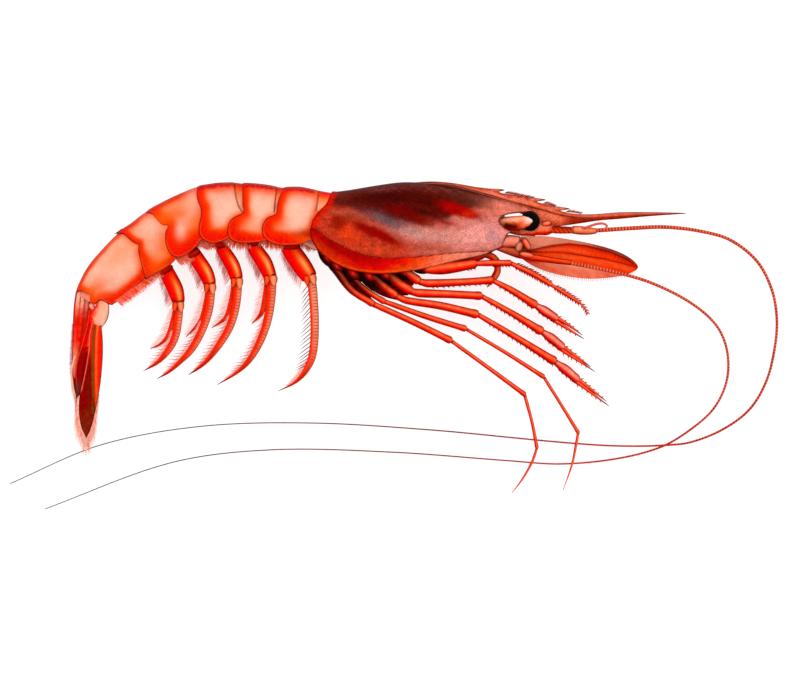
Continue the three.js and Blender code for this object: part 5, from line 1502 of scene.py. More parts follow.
# Mouth limbs and walking legs: each joint is a piece of shell of its own, rounded into the next.
# Stations: x, y, height of the right one, height of the left one where it isn't the mirrored one, half width.
mouthLimbs = {
    "second": [
        [[11.5, -11.6, 13.4, 10.3, 0.4], [17, -10.8, 13.5, 1.3], [22, -9.9, 13.5, 1.6],
            [26.4, -8.8, 13.5, 1.1]],
        [[25.2, -8.2, 13.5, 0.9], [27.4, -8.5, 13.5, 1.1], [29.8, -9.4, 13.5, 1.15],
            [31.1, -11.2, 13.5, 1.15]],
        [[31.2, -11.8, 13.4, 10.3, 1.1], [31.1, -14, 13.3, 10.3, 1.15], [29.9, -16.2, 13.1, 10.2, 0.95]],
        [[29.8, -16.6, 13.1, 10.2, 0.75], [29, -17.7, 13, 10.1, 0.5], [27.9, -18.9, 13, 10, 0.15]],
    ],
    "third": [
        [[6.4, -13.2, 16.2, 0.7], [9, -13.3, 16.6, 1.35], [13.4, -13, 17, 1.9], [18.4, -12.3, 17.2, 1.85],
            [23.8, -11.5, 17.2, 6.4, 1.4]],
        [[24.2, -11.4, 17.2, 6.4, 0.9], [29, -11.2, 17.2, 6.2, 1.05], [35.2, -11.2, 17, 5.8, 0.95]],
        [[35.6, -11.4, 17, 5.7, 0.8], [42, -14.4, 16.6, 5, 1], [48.2, -18, 16, 4.4, 0.8]],
        [[48.4, -18.2, 16, 4.4, 0.62], [53, -21, 15.4, 3.7, 0.72], [57.6, -24, 14.6, 3, 0.5]],
        [[57.6, -24, 14.6, 3, 0.4], [59.2, -25.8, 14.2, 2.7, 0.32], [60.2, -27.8, 14, 2.4, 0.1]],
    ],
}
walkingLegs = [{
    "joints": [
        [[-1.6, -11.8, 14.6, 1.25], [2.2, -14.3, 15.4, 8.3, 1.5], [5.7, -16.8, 15.8, 7.8, 1.4]],
        [[6.4, -17.2, 15.9, 7.7, 1.15], [9, -17.7, 16, 7.6, 1.35], [20, -17.3, 16, 6.8, 1.2],
            [29.2, -16.7, 15.7, 6.2, 1.25]],
        [[29.9, -16.9, 15.5, 6.1, 0.85], [36, -20.1, 14.4, 5.1, 1.1], [43, -24.5, 13.3, 4.1, 1.4]],
        [[43.5, -24.8, 13.2, 4, 1], [46.3, -26.6, 12.8, 3.6, 1.6], [49.7, -28.8, 12.4, 3.2, 1.3]],
    ],
    "fingers": [
        [[49.2, -28.1, 12.5, 3.3, 0.75], [54, -31.1, 11.8, 2.6, 0.5], [58.4, -34.3, 11.3, 2.1, 0.1]],
        [[48.6, -29.1, 12.5, 3.3, 0.8], [51.4, -30.8, 12.2, 3, 0.6], [55.2, -33.2, 11.8, 2.5, 0.4],
            [58.9, -35.5, 11.3, 2.1, 0.1]],
    ],
    "spines": [1, 2, 3],
}, {
    "joints": [
        [[-6.6, -12.2, 14.6, 1.3], [-1, -17.3, 15.6, 7.9, 1.55], [3.2, -20, 15.9, 7.6, 1.45]],
        [[3.6, -20.3, 15.9, 7.6, 1.2], [6, -20.8, 16, 7.4, 1.4], [16, -21.2, 15.6, 6.6, 1.3],
            [25.6, -21.7, 15, 6, 1.3]],
        [[26.4, -22, 14.9, 5.9, 0.85], [36, -27.4, 13.8, 4.8, 1.05], [45, -32.9, 12.9, 3.7, 1.4]],
        [[45.6, -33.3, 12.8, 3.6, 1], [48.3, -35.2, 12.5, 3.3, 1.6], [51.8, -38, 12.1, 2.9, 1.3]],
    ],
    "fingers": [
        [[51.2, -37.3, 12.2, 3, 0.75], [56.4, -41.1, 11.5, 2.3, 0.5], [61, -44.4, 11, 1.8, 0.1]],
        [[50.6, -38.1, 12.2, 3, 0.8], [53.6, -40.2, 11.9, 2.7, 0.6], [58, -43, 11.4, 2.3, 0.4],
            [62.4, -46, 11, 1.8, 0.1]],
    ],
    "spines": [2, 3],
}, {
    "joints": [
        [[-12, -12.8, 14.6, 9, 1.3], [-6.4, -17.8, 15.4, 8, 1.35], [-1.6, -21.4, 15.8, 7.5, 1.2]],
        [[-0.8, -22, 15.8, 7.4, 1.1], [2.2, -23.2, 15.8, 7.3, 1.2], [13, -24.9, 15.3, 6.4, 1.3],
            [24.4, -27.6, 14.6, 5.6, 1.35]],
        [[25.2, -27.9, 14.5, 5.5, 0.85], [37, -34.9, 13.3, 4.4, 1.05], [49.2, -42.5, 12.2, 3.3, 1.4]],
        [[49.8, -43, 12.1, 3.2, 1], [52.9, -45.3, 11.8, 2.9, 1.6], [56.6, -48.4, 11.4, 2.6, 1.3]],
    ],
    "fingers": [
        [[56, -47.6, 11.5, 2.7, 0.75], [61, -51.5, 10.8, 2.1, 0.5], [66.1, -55.5, 10.3, 1.6, 0.1]],
        [[55.4, -48.5, 11.5, 2.7, 0.8], [58.4, -50.6, 11.2, 2.4, 0.6], [62.6, -53.8, 10.7, 2, 0.4],
            [66.9, -57, 10.3, 1.6, 0.1]],
    ],
    "spines": [2, 3],
}, {
    "joints": [
        [[-17, -11.2, 14.4, 9, 1.1], [-14.2, -16.8, 15.1, 8.2, 1.05], [-10.4, -20.2, 15.3, 7.8, 0.95],
            [-5.2, -23.5, 15.4, 7.4, 0.95]],
        [[-4.8, -23.6, 15.4, 7.4, 0.85], [8, -28.2, 14.9, 6.8, 0.95], [20.8, -32.2, 14.2, 6.2, 1]],
        [[21.6, -32.6, 14.1, 6.1, 0.6], [34, -40, 13.1, 5.5, 0.62], [45.8, -47.5, 12, 4.8, 0.75]],
        [[46.2, -48, 11.9, 4.7, 0.55], [51.6, -56.6, 11.2, 4.2, 0.52], [57, -65.4, 10.4, 3.6, 0.6]],
        [[57, -65.6, 10.4, 3.6, 0.5], [56.4, -69, 10, 3.3, 0.45], [55, -75.8, 9.4, 2.9, 0.34],
            [52.2, -83.8, 8.8, 2.2, 0.1]],
    ],
}, {
    "joints": [
        [[-25.2, -7.2, 14, 8.6, 1.4], [-20.2, -13.8, 14.7, 8, 1.35], [-15.6, -19.8, 15, 7.6, 1.15],
            [-8.8, -24.2, 15.2, 7.2, 1.1]],
        [[-8.2, -24.5, 15.2, 7.1, 1], [4, -30, 14.6, 6.6, 1.05], [16, -35.9, 13.8, 6, 1.15]],
        [[16.8, -36.4, 13.7, 5.9, 0.66], [28, -44.5, 12.7, 5.3, 0.68], [39.8, -53.2, 11.6, 4.6, 0.8]],
        [[40, -53.8, 11.5, 4.5, 0.58], [42.2, -62, 10.9, 4, 0.52], [43.8, -70.2, 10.2, 3.4, 0.58]],
        [[43.8, -70.4, 10.2, 3.4, 0.48], [42.2, -75, 9.8, 3.1, 0.42], [39, -80.6, 9.3, 2.7, 0.32],
            [35.8, -84.8, 8.9, 2.2, 0.1]],
    ],
}]
legTones = {
    "body": (255, 36, 6),
    "shade": (140, 4, 0),
    # the painted highlight along each joint, then the broader one on a claw's palm
    "glow": (255, 132, 86),
    "palmHighlight": (255, 186, 160),
    # painted shade on the first joint of each leg, near the body
    "root": (60, 0, 2),
    "tip": (96, 14, 8),
    "rootShadeLength": [7.5, 10.5, 13.5, 17, 24],  # how far down its first joint each walking leg is dark
    "mouthRootShade": 2.5,
}


# Swollen towards its far end, where the next joint sits, and drawn in just before the near one.
def jointSwell(whole):
    return lambda along, turn: 0.1 * bell(along, whole - 0.6, 0.9) - 0.06 * bell(along, 1.2, 0.9) + 0 * turn


# A finger: a leg's colours, dark towards its tip.
def fingerDress(along, whole, across, over, points):
    plain = limbDress(legTones["body"], legTones["shade"], legTones["glow"])
    tint = plain(along, whole, across, over, points)
    return layered(tint, (ease(along / whole, 0.6, 1), legTones["tip"]))


def legShapes(joints, fingers, side, rootShadeLength):
    shapes = []
    for number, stations in enumerate(joints):
        path = sidePath(stations, side, 0.35)
        whole = runOf(path[:, :3])[-1]
        # the first joint carries the painted shade near the body, and a claw's palm a broader painted
        # highlight
        root = legTones["root"] if number == 0 else None
        glow = legTones["palmHighlight" if fingers and number == len(joints) - 1 else "glow"]
        look = limbDress(legTones["body"], legTones["shade"], glow, 0.22, root, rootShadeLength)
        shapes.append(sweep(path, 18, look, 0.7, jointSwell(whole)))
    return shapes + [limb(stations, side, 0.25, 14, fingerDress, 0.5) for stations in fingers]


for side in sides:
    for number, (leg, rootShadeLength) in enumerate(zip(walkingLegs, legTones["rootShadeLength"]), 1):
        shapes = legShapes(leg["joints"], leg.get("fingers", []), side, rootShadeLength)
        makeSided(f"leg_{number}", side, shapes, "limbShell")
    for number, key in ((2, "second"), (3, "third")):
        shapes = legShapes(mouthLimbs[key], [], side, legTones["mouthRootShade"])
        makeSided(f"maxilliped_{number}", side, shapes, "limbShell")


# Where the legs join the body: knobs under the edge of the head shell, painted near black as shadow.
legRoots = [  # x, y, half length, half width, turn
    [-23.6, -9.6, 3.6, 1.8, -52], [-20.4, -12.4, 3.6, 2.1, -42], [-15.2, -14.8, 3.8, 2.3, -38],
    [-10, -15.6, 3.8, 2.4, -36],
    [-4.6, -15.3, 3.8, 2.4, -30], [1.6, -14.6, 3.6, 2, -22], [6.6, -13.2, 3, 1.5, -10],
]


# Painted near black as shadow, with a painted red highlight on the middle of its upper side.
def knob(along, whole, across, over, points):
    paintedGlint = bell(along / whole, 0.5, 0.26) * bell(across, 0.2, 0.42) * ease(over, 0, 0.6)
    return layered(
        (30, 0, 2),
        (ease(paintedGlint, 0.15, 0.8) * 0.95, (226, 26, 16)),
        (ease(paintedGlint, 0.75, 1) * 0.6, (255, 92, 76)),
    )


# Dark sheets laid between neighbouring legs where they leave the body, painted shade standing in for the
# shadow there: their two edges in side view.
legShadeSheets = [
    [
        [[-22.4, -11.4], [-19, -16.4], [-14, -21.2], [-7.8, -24.3]],
        [[-17.6, -12.4], [-14.2, -17.2], [-10.6, -20.6], [-7.8, -24.1]],
    ],
    [
        [[-14.6, -14.6], [-11.2, -18.3], [-8, -20.6], [-4.2, -22.3], [0.6, -23.4]],
        [[-11, -13.8], [-6.4, -17.8], [-2.6, -20.8], [0.6, -22.8]],
    ],
    [
        [[-10, -14.6], [-6.2, -18], [-1.6, -21.4], [2.6, -21.6]],
        [[-5, -13.8], [-1, -17.3], [1.4, -19.2], [2.6, -20.8]],
    ],
    [
        [[-4.6, -14.2], [-1, -17], [2.2, -18.4], [4.4, -18.4]],
        [[-1.6, -12.5], [2, -14.4], [3.8, -15.6], [4.4, -17.2]],
    ],
]


# Painted shade: near black, redder and mottled red further out.
def shadeSheetDress(t, w, points):
    fine = drift(points, 1.8, 53)
    return layered(
        (44, 0, 2),
        (ease(t, 0.4, 0.95) * 0.8, (140, 8, 6)),
        (np.clip(fine, 0, 1) * ease(t, 0.2, 0.6) * 0.5, (190, 24, 18)),
    )


knobs, shadeSheets = [], []
for side in sides:
    for x, y, long, short, turn in legRoots:
        knobs.append(lobe(x, y, middleHeight(x) + sign[side] * 3, long, short, turn, 1.9, knob))
    height = lambda x, t: 0 * x + 0 * t + headMiddle + sign[side] * 2.4
    shadeSheets += [leaf(*edges, height, 0.3, [], shadeSheetDress, 40, 24) for edges in legShadeSheets]
makePiece("leg_roots", knobs + shadeSheets, "limbShell")
print("legs made")


# A swimming leg is a stout base, a cuff of two plates, and one or two ringed blades.
# Stations: x, y, half width.
swimLegs = {
    "height": 3.2,  # of the base, from the middle plane
    "droop": 2.4,  # how far the right tips hang below their base
    "leftTip": 1.2,  # height of the left tips over the surface
    "reach": 42,  # from its root, how far out a leg has come down all the way
    "thickest": 1.4,
    "pitch": 1,  # length of one ring of a blade
    # how far each part is moved towards the middle plane, and its thickness over its width
    "parts": {"base": (0, 0.62), "outer": (0, 0.42), "inner": (1, 0.4)},
    # cuffs: shift to the side, half length, half width, tilt; but for the length, 1 is half a blade's width
    "cuffs": [[-0.85, 1.9, 0.72, 0.1], [0.45, 2.1, 0.84, -0.12]],
    "cuffForm": [(-0.75, 0.75), (-0.3, 1), (0.3, 0.85), (0.8, 0.35), (1, 0.08)],  # place, share of width
    # "haired" tells from where to where along its blade a leg has hairs; "coxa" is the dark joint at its root
    "all": [{
        "base": [[-36.6, -4.2, 2.6], [-33.8, -8.6, 3.05], [-31.6, -11.8, 3.1], [-29.7, -14.6, 2.85],
            [-29, -15.8, 2.6]],
        "outer": [[-28.5, -16.4, 1.5], [-27.6, -24, 1.42], [-27.3, -33, 1.36], [-28.1, -41, 1.28],
            [-30.4, -46, 0.95], [-33.6, -49.4, 0.5], [-39, -52.2, 0.08]],
        "pale": 1,
        "haired": (0.03, 0.7),
        "coxa": [-34.8, -6.4, 3, 1.2, 4],
    }, {
        "base": [[-48, -3.6, 2.2], [-45.8, -7.6, 2.45], [-43.5, -11, 2.55], [-42, -14.4, 2.3],
            [-41.5, -15.8, 2.1]],
        "outer": [[-41.2, -16.6, 1.6], [-41.5, -24, 1.5], [-42.8, -31, 1.35], [-45.4, -37.6, 1.2],
            [-48.8, -43, 0.9], [-53, -46.8, 0.5], [-58.6, -50.2, 0.08]],
        "inner": [[-42.6, -17, 0.75], [-43.1, -22, 0.95], [-44.4, -27.2, 0.75], [-47.4, -30.7, 0.1]],
        "pale": 0.5,
        "haired": (0.34, 0.84),
        "coxa": [-46.9, -5.2, 2.6, 1.4, 8],
    }, {
        "base": [[-57.8, -5, 2], [-55.6, -8.6, 2.25], [-53.7, -11.8, 2.35], [-52.6, -14.8, 2.2],
            [-52.3, -16.2, 2]],
        "outer": [[-52, -17.4, 1.45], [-52.6, -25, 1.4], [-54.4, -31.4, 1.3], [-57.6, -37, 1.15],
            [-61.4, -42, 0.8], [-64.6, -44.9, 0.5], [-67.8, -47, 0.08]],
        "inner": [[-53.2, -18, 0.75], [-54, -23.6, 0.95], [-55.8, -28.6, 0.7], [-60.2, -32, 0.1]],
        "pale": 0.45,
        "haired": (0.36, 0.84),
        "coxa": [-57.6, -5.8, 2.6, 1.4, 8],
    }, {
        "base": [[-66.7, -7.2, 2.3], [-64.3, -10.9, 2.45], [-62.3, -14, 2.45], [-61.1, -17, 2.2],
            [-60.7, -18.2, 1.85]],
        "outer": [[-60.6, -19.2, 1.45], [-61.2, -26, 1.4], [-63.4, -32.8, 1.3], [-66.8, -38.9, 1.15],
            [-70.6, -43, 0.8], [-74, -46, 0.5], [-77.8, -48.3, 0.08]],
        "inner": [[-61.4, -19.6, 0.75], [-62.1, -24.4, 0.95], [-63.8, -29.6, 0.75], [-68.5, -34.9, 0.1]],
        "pale": 0.45,
        "haired": (0.4, 0.84),
        "coxa": [-66.2, -8.8, 2.6, 1.4, 30],
    }, {
        "base": [[-75.2, -12.8, 2.3], [-73.4, -16.5, 2.55], [-71.9, -19.6, 2.55], [-71.1, -22.6, 2.25],
            [-70.9, -24, 1.9]],
        "outer": [[-70.8, -25, 1.4], [-71.1, -30, 1.4], [-72.2, -35.6, 1.25], [-74.8, -40, 1.05],
            [-78, -43.3, 0.6], [-82.2, -45.8, 0.08]],
        "inner": [[-71.8, -25.2, 0.7], [-72.5, -29, 0.85], [-74.2, -34.2, 0.7], [-76.6, -37, 0.45],
            [-80, -38.7, 0.1]],
        "pale": 0.45,
        "haired": (0.5, 0.84),
        "coxa": [-74.9, -13.9, 2.6, 1.35, 34],
    }],
}


# Path of a swimming leg's part: out from its root the right one sinks and the left one nears the surface.
def swimPath(stations, part, side, root, spacing):
    inwards, thin = swimLegs["parts"][part]
    rows = np.array(stations, float)
    run = np.minimum(1, np.hypot(rows[:, 0] - root[0], rows[:, 1] - root[1]) / swimLegs["reach"])
    middle = middleHeight(root[0])
    right = middle + swimLegs["height"] - swimLegs["droop"] * run**2
    left = (middle - swimLegs["height"]) * (1 - run) + swimLegs["leftTip"] * run
    z = (right if side == "right" else left) - sign[side] * inwards
    thick = np.minimum(rows[:, 2] * thin, swimLegs["thickest"])
    return smoothLine(np.c_[rows[:, :2], z, rows[:, 2], thick], spacing)


# Red, with a painted highlight streak right of its middle, slightly darker along its left edge, and dark
# along its right edge, at its root and at its end.
def swimBaseDress(along, whole, across, over, points):
    fine = drift(points, 1.5, 61)
    share = along / whole
    return layered(
        (252, 26, 4),
        (bell(across, 0.25, 0.5) * ease(over, 0, 0.5) * bell(share, 0.62, 0.4) * 0.7, (255, 80, 30)),
        (bell(across, 0.3, 0.22) * ease(over, 0, 0.5) * bell(share, 0.68, 0.26) * 0.85, (255, 180, 104)),
        (ease(-across + 0.2 * fine, 0.5, 1) * 0.7, (196, 10, 4)),
        (ease(across, 0.72, 0.98), (104, 4, 2)),
        (ease(-along + 0.3 * fine, -1.5, -0.3) * 0.8, (104, 4, 4)),
        (bell(along, whole, 0.35), (96, 6, 3)),
    )


def swimBladeDress(pale):
    def dress(along, whole, across, over, points):
        share = along / whole
        ring = wave(along, swimLegs["pitch"])
        lit = ease(-share, -0.86, -0.3)  # the nearer part of the blade
        dark = ease(across, -0.5, 0.1) * ease(0.88 - share, 0, 0.38)
        return layered(
            (250, 54, 26),
            (ease(across, 0.05 - 0.8 * pale, 0.65 - 0.7 * pale) * (0.4 + pale * 0.5) * lit, (255, 154, 120)),
            (ring**6 * dark * (0.55 + 0.4 * pale), (140, 20, 10)),
            (ease(across, 0.74, 0.98) * 0.9, (112, 12, 6)),
            (ease(-across, 0.78, 1) * 0.8, (170, 14, 8)),
            (bell(across, 0.25, 0.3) * ease(share, 0.6, 0.8) * 0.8, (110, 12, 8)),
            (ease(share, 0.84, 1) * 0.8, (96, 10, 8)),
        )

    return dress


def cuffDress(body, glow):
    def dress(along, whole, across, over, points):
        return layered(
            body,
            (bell(across, 0, 0.4) * 0.6, glow),
            (ease(np.abs(across), 0.66, 0.92), (110, 8, 4)),
            (ease(along, whole - 0.5, whole), (110, 8, 4)),
            (ease(-along, -0.6, 0), (110, 8, 4)),
        )

    return dress


def ringed(along, turn):
    return -0.06 * wave(along, swimLegs["pitch"]) ** 2 + 0 * turn


cuffDresses = cuffDress((250, 62, 30), (255, 108, 64)), cuffDress((255, 120, 74), (255, 176, 134))
coxa = limbDress((158, 20, 12), (74, 4, 2), (216, 44, 28))
for side in sides:
    for number, one in enumerate(swimLegs["all"], 1):
        root = one["base"][0]
        base = swimPath(one["base"], "base", side, root, 0.3)
        start = [*one["base"][-2][:2], one["outer"][0][2] * 0.9]
        outer = swimPath([start, *one["outer"]], "outer", side, root, swimLegs["pitch"] / 5)
        end = swimPath(one["outer"], "outer", side, root, swimLegs["pitch"])[0]
        heading = np.array(one["outer"][1][:2]) - np.array(one["outer"][0][:2])
        heading /= np.linalg.norm(heading)
        across = np.array([-heading[1], heading[0]])
        shapes = [
            sweep(base, 30, swimBaseDress, 0.35),
            sweep(outer, 20, swimBladeDress(one["pale"]), 0.5, ringed),
        ]
        for (shift, length, wide, tilt), dress in zip(swimLegs["cuffs"], cuffDresses):
            way = heading - across * tilt
            rows = [
                [*(end[:2] + across * shift * end[3] + way * length * step), end[2] + sign[side] * 0.9,
                 wide * end[3] * share, 0.8 * share]
                for step, share in swimLegs["cuffForm"]
            ]
            shapes.append(sweep(smoothLine(rows, 0.15), 20, dress, 0.6))
        if "inner" in one:
            inner = swimPath(one["inner"], "inner", side, root, swimLegs["pitch"] / 5)
            shapes.append(sweep(inner, 16, swimBladeDress(0.1), 0.5, ringed))
        x, y, long, short, turn = one["coxa"]
        shapes.append(lobe(x, y + 0.4, base[0, 2] + sign[side] * 0.5, long, short, turn, 1.5, coxa))
        makeSided(f"pleopod_{number}", side, shapes, "limbShell")
print("swimming legs made")


# Each kind of hair is one joined mesh of thin pyramids at true size.
bristles = {  # the piece, spacing, length, radius
    "legSpines": ("leg_spines", 1.7, 1.2, 0.2),
    "mouthSpines": ("mouth_spines", 0.95, 1.2, 0.24),
    "scaleHairs": ("scale_hairs", 0.6, 1.5, 0.09),
    "bellyHairs": ("belly_hairs", 0.6, 4.2, 0.13),
    "fuzz": ("belly_hairs", 0.12, 3.9, 0.21),
    "baseHairs": ("swim_base_hairs", 0.34, 4, 0.1),
    "bladeHairs": ("swim_blade_hairs", 1.4, 4.9, 0.15),
    "softHairs": ("swim_blade_hairs", 0.3, 2.6, 0.1),
    "fanHairs": ("fan_hairs", 0.26, 5.9, 0.09),
    "crestHairs": ("crest_hairs", 0.34, 1.9, 0.13),
}
hairSlots = {
    "leg_spines": "limb_shell", "mouth_spines": "limb_shell", "scale_hairs": "tail_shell",
    "belly_hairs": "limb_shell", "swim_base_hairs": "limb_shell", "swim_blade_hairs": "limb_shell",
    "fan_hairs": "tail_blade", "crest_hairs": "head_shell",
}
hairShapes = {name: [] for name in hairSlots}
rosy, ash, wine = (255, 158, 148), (206, 128, 126), (130, 16, 10)
fringes = [  # under the tail rings, from the flesh between the side plates
    [[-26.6, -6.2], [-29.4, -5.4], [-32.2, -5.4]],
    [[-37.2, -5.7], [-40.5, -5.2], [-43.4, -4.6], [-45.2, -3.8]],
    [[-48, -5.2], [-51, -5.2], [-54.2, -4.6], [-56.4, -3.9]],
    [[-58.3, -5.6], [-61.6, -5], [-64, -5.2], [-66.2, -6.4]],
    [[-67.2, -9.4], [-70.4, -10.8], [-72, -11.6]],
    [[-76, -14], [-79.6, -16], [-84, -19.4], [-88, -22.8], [-91, -25]],
]
fringeLengths = [([0.9, 1, 0.9], [0.8, 1.1, 1.1, 0.9]), ([0.7, 0.8, 0.6], [0.8, 1, 0.85])]  # hairs, fuzz
fringeRoots = {"away": 4.6, "firstAway": 2.2, "rise": 2}  # from the middle plane, and above the lines
crestLines = [([33.2, 11.15], [42.6, 9.5]), ([45.6, 7.95], [49.6, 6.9]), ([52.8, 5.1], [58, 4.5])]


# Points spread along a path (x, y, z, half width) with the headings there: even spacing with a seeded jitter.
def alongPath(path, every, seed, start, stop):
    draw = np.random.default_rng(seed)
    run = runOf(path[:, :2])
    at = np.arange(start * run[-1] + every / 2, stop * run[-1], every)
    at = at + draw.uniform(-0.15, 0.15, len(at)) * every
    heading = unit(readAt(at, run, np.gradient(path[:, :3], run, axis=0)))
    across = unit(np.cross([0, 0, 1], heading))
    return readAt(at, run, path[:, :4]), heading, across, draw


# Hairs from one edge of a path: edge is -1 for its lower or rear edge and 1 for the other; lean is how far
# they point along the path rather than out of it. Leans and lengths may change in even steps along the path.
def grow(kind, path, edge, lean, colour, seed, start=0, stop=1, lengths=(1, 1), rise=0):
    piece, every, hairLength, radius = bristles[kind]
    rows, heading, across, draw = alongPath(path, every, seed, start, stop)
    share = np.linspace(0, 1, len(rows))
    stepped = lambda values: np.interp(share, np.linspace(0, 1, len(values)), values)
    length = hairLength * draw.uniform(0.88, 1.1, len(rows)) * stepped(lengths)
    leans = stepped(lean if isinstance(lean, list) else [lean, lean]) + draw.normal(0, 0.05, len(rows))
    rises = rise + draw.normal(0, 0.06, len(rows))
    roots = rows[:, :3] + across * edge * (rows[:, 3] * 0.85)[:, None]
    way = unit(across * edge + heading * leans[:, None] + np.array([0, 0, 1]) * rises[:, None])
    tint = np.broadcast_to(tone(*colour), (len(rows), 3))
    hairShapes[piece].append(hairs(roots, roots + way * length[:, None], radius, tint))


# Path of no width on a line in side view, at a height that is a number or a function of x.
def flatPath(points, z):
    line = smoothLine(points, 0.3)
    height = z(line[:, 0]) if callable(z) else np.full(len(line), z)
    return np.c_[line, height, np.zeros(len(line))]


for side in sides:
    for number, leg in enumerate(walkingLegs[:3]):
        for joint in leg["spines"]:
            path = sidePath(leg["joints"][joint], side, 0.35)
            grow("legSpines", path, -1, 1.2, wine, 100 + number * 10 + joint, 0.12)
        upper, lower = (sidePath(finger, side, 0.25) for finger in leg["fingers"])
        grow("legSpines", lower, -1, 0.8, wine, 140 + number, 0.1, 0.8, [1, 0.6])
        grow("legSpines", upper, 1, 0.8, wine, 150 + number, 0.1, 0.85, [0.8, 0.5])
    for joint, stations in enumerate(mouthLimbs["third"][1:], 1):
        path = sidePath(stations, side, 0.3)
        grow("mouthSpines", path, -1, 1.5, wine, 170 + joint, 0.1 if joint > 1 else 0.45)
        if joint > 1:
            grow("mouthSpines", path, 1, 1.5, wine, 180 + joint, 0.1)
    grow("mouthSpines", sidePath(mouthLimbs["third"][0], side, 0.3), -1, 1.3, wine, 190, 0.82)

    scale = feelers["scale"]
    edge = flatPath(scale["second"], headMiddle + sign[side] * (scale["height"] - headMiddle))
    grow("scaleHairs", edge, -1, 0.25, (226, 140, 128), 200, 0.12, 0.97, [0.5, 0.8, 0.85, 0.8, 0.5])

    for number, line in enumerate(fringes):
        away = fringeRoots["away"] if number else fringeRoots["firstAway"]
        path = flatPath(line[::-1], lambda x: middleHeight(x) + sign[side] * away)
        path[:, 1] += fringeRoots["rise"]
        long, dense = fringeLengths[0 if number < 4 else 1]
        grow("bellyHairs", path, -1, 0.1, (112, 62, 58) if number == 1 else rosy, 210 + number, lengths=long)
        grow("fuzz", path, -1, 0.1, (255, 128, 104), 216 + number, lengths=dense)
        grow("fuzz", path, -1, 0.5, (255, 70, 42), 222 + number, lengths=[0.85 * k for k in dense])

    for number, one in enumerate(swimLegs["all"]):
        root = one["base"][0]
        base = swimPath(one["base"], "base", side, root, 0.3)
        outer = swimPath(one["outer"], "outer", side, root, 0.3)
        grow("baseHairs", base, -1, 1.1, ash, 230 + number, 0.08, 0.8, [0.8, 1, 1])
        grow("baseHairs", base, -1, 1, rosy, 240 + number, 0.2, 0.96, [0.7, 0.95, 0.9], -0.1)
        colour, reach, start = ((206, 140, 140), 0.75, 0.3) if number else ((60, 34, 32), 1, 0.64)
        lengths = [reach * k for k in (0.9, 0.95, 1.0, 1.1, 0.8)]
        grow("bladeHairs", outer, -1, [1, 1, 0.9, 1, 1.4], colour, 250 + number, *one["haired"], lengths)
        grow("softHairs", outer, -1, 1.3, rosy, 260 + number, start, 0.92, [0.7, 1, 0.8, 0.3])
        if "inner" in one:
            inner = swimPath(one["inner"], "inner", side, root, 0.3)
            grow("softHairs", inner, -1, 0.8, (255, 184, 176), 270 + number, 0, 0.96, [0.8, 1.3, 1.1, 0.5])
            grow("softHairs", inner, 1, 1.4, rosy, 280 + number, 0.3, 0.9, [0.2, 0.4, 0.3])

    # two layers of hairs on the outer blade's first edge and on its second one, one layer on the inner blade
    for blade, key, way, start, spread, shape, layers in (
        ("outer", "first", -1, 0.62, 1.0, [0.3, 0.55, 0.9, 1.15], (0, 1)),
        ("outer", "second", 1, 0.6, 1.0, [0.1, 0.35, 0.75, 1.15], (0, 1)),
        ("inner", "first", -1, 0.52, 0.5, [0.3, 0.55, 0.9, 1.15], (1,)),
    ):
        first, last = tailFan[blade]["away"]
        path = flatPath(tailFan[blade][key], lambda x: middleHeight(x) + sign[side] * (first + last) / 2)
        if blade == "inner":
            path[:, 0] -= tailFan["leftSpread"] * ease(-path[:, 1], 32, 44)
        for layer in layers:
            colour, seed = ((255, 150, 124), (255, 196, 178))[layer], 290 + layer + (10 if way > 0 else 0)
            grow("fanHairs", path, way, 1.5 + layer, colour, seed, start, 1, [spread * k for k in shape])

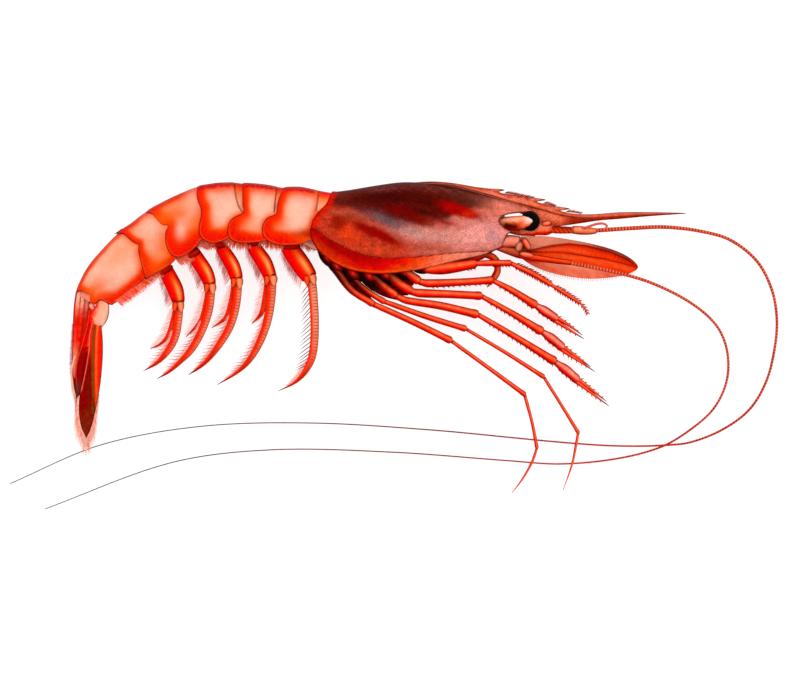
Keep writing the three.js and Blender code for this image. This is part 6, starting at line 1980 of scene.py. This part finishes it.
grow("fanHairs", telsonPath, -1, 1.2, (150, 30, 26), 320, 0.4, 0.98, [0.25, 0.3, 0.35, 0.3])
for start, stop in crestLines:
    path = flatPath([start, [(start[0] + stop[0]) / 2, (start[1] + stop[1]) / 2 + 0.1], stop], headMiddle)
    grow("crestHairs", path, 1, 1.4, (150, 58, 50), 330, lengths=[1, 0.9, 0.7])
for name, slotName in hairSlots.items():
    makePiece(name, hairShapes[name], "hair")
print("hairs made")


room = {
    "floor": tone(146, 146, 146),  # frosted glass, which looks white through its own glow
    "floorSize": 3,  # metres
    "floorGlow": 0.82,  # a light table, so the animal hardly throws a shadow
    "sky": 1.15,
    "aim": (0, -0.03, 0.01),  # what the lights face, in metres as their places
    "key": {"place": (-0.4, 0.5, 0.85), "size": 1.1, "power": 3.2},
    "fill": {"place": (0.6, -0.5, 0.7), "size": 1.2, "power": 0.5},
}


def floorFinish():
    material, tree, shader = newMaterial("frostedGlass")
    frost = addNode(tree, "ShaderNodeTexNoise", {"Scale": 60, "Detail": 3})
    wire(tree, addNode(tree, "ShaderNodeTexCoord"), "Object", frost, "Vector")
    colourBetween(tree, frost, "Fac", (*room["floor"] * 0.99, 1), (*room["floor"], 1), shader)
    setInputs(shader, {"Roughness": 0.9, "Specular IOR Level": 0.1})
    setInputs(shader, {"Emission Color": (1, 1, 1, 1), "Emission Strength": room["floorGlow"]})
    return material


half = room["floorSize"] / 2
floorMesh = bpy.data.meshes.new("floor")
corners = [(-half, -half, 0), (half, -half, 0), (half, half, 0), (-half, half, 0)]
floorMesh.from_pydata(corners, [], [(0, 1, 2, 3)])
floorMesh.materials.append(floorFinish())
floor = bpy.data.objects.new("floor", floorMesh)
scene.collection.objects.link(floor)


# A square soft light, turned to face the middle of the animal.
def softLight(name, place, size, power):
    light = bpy.data.lights.new(name, "AREA")
    light.size, light.energy = size, power
    lamp = bpy.data.objects.new(name, light)
    lamp.location = place
    aim = np.array(room["aim"]) - np.array(place)
    away = float(np.hypot(aim[0], aim[1]))
    lamp.rotation_euler = (np.arctan2(away, -aim[2]), 0, np.arctan2(aim[1], aim[0]) - np.pi / 2)
    scene.collection.objects.link(lamp)


for name in ("key", "fill"):
    softLight(name, **room[name])
world = bpy.data.worlds.new("sky")
world.use_nodes = True
setInputs(world.node_tree.nodes["Background"], {"Color": (1, 1, 1, 1), "Strength": room["sky"]})
scene.world = world
print("floor and lights in place")
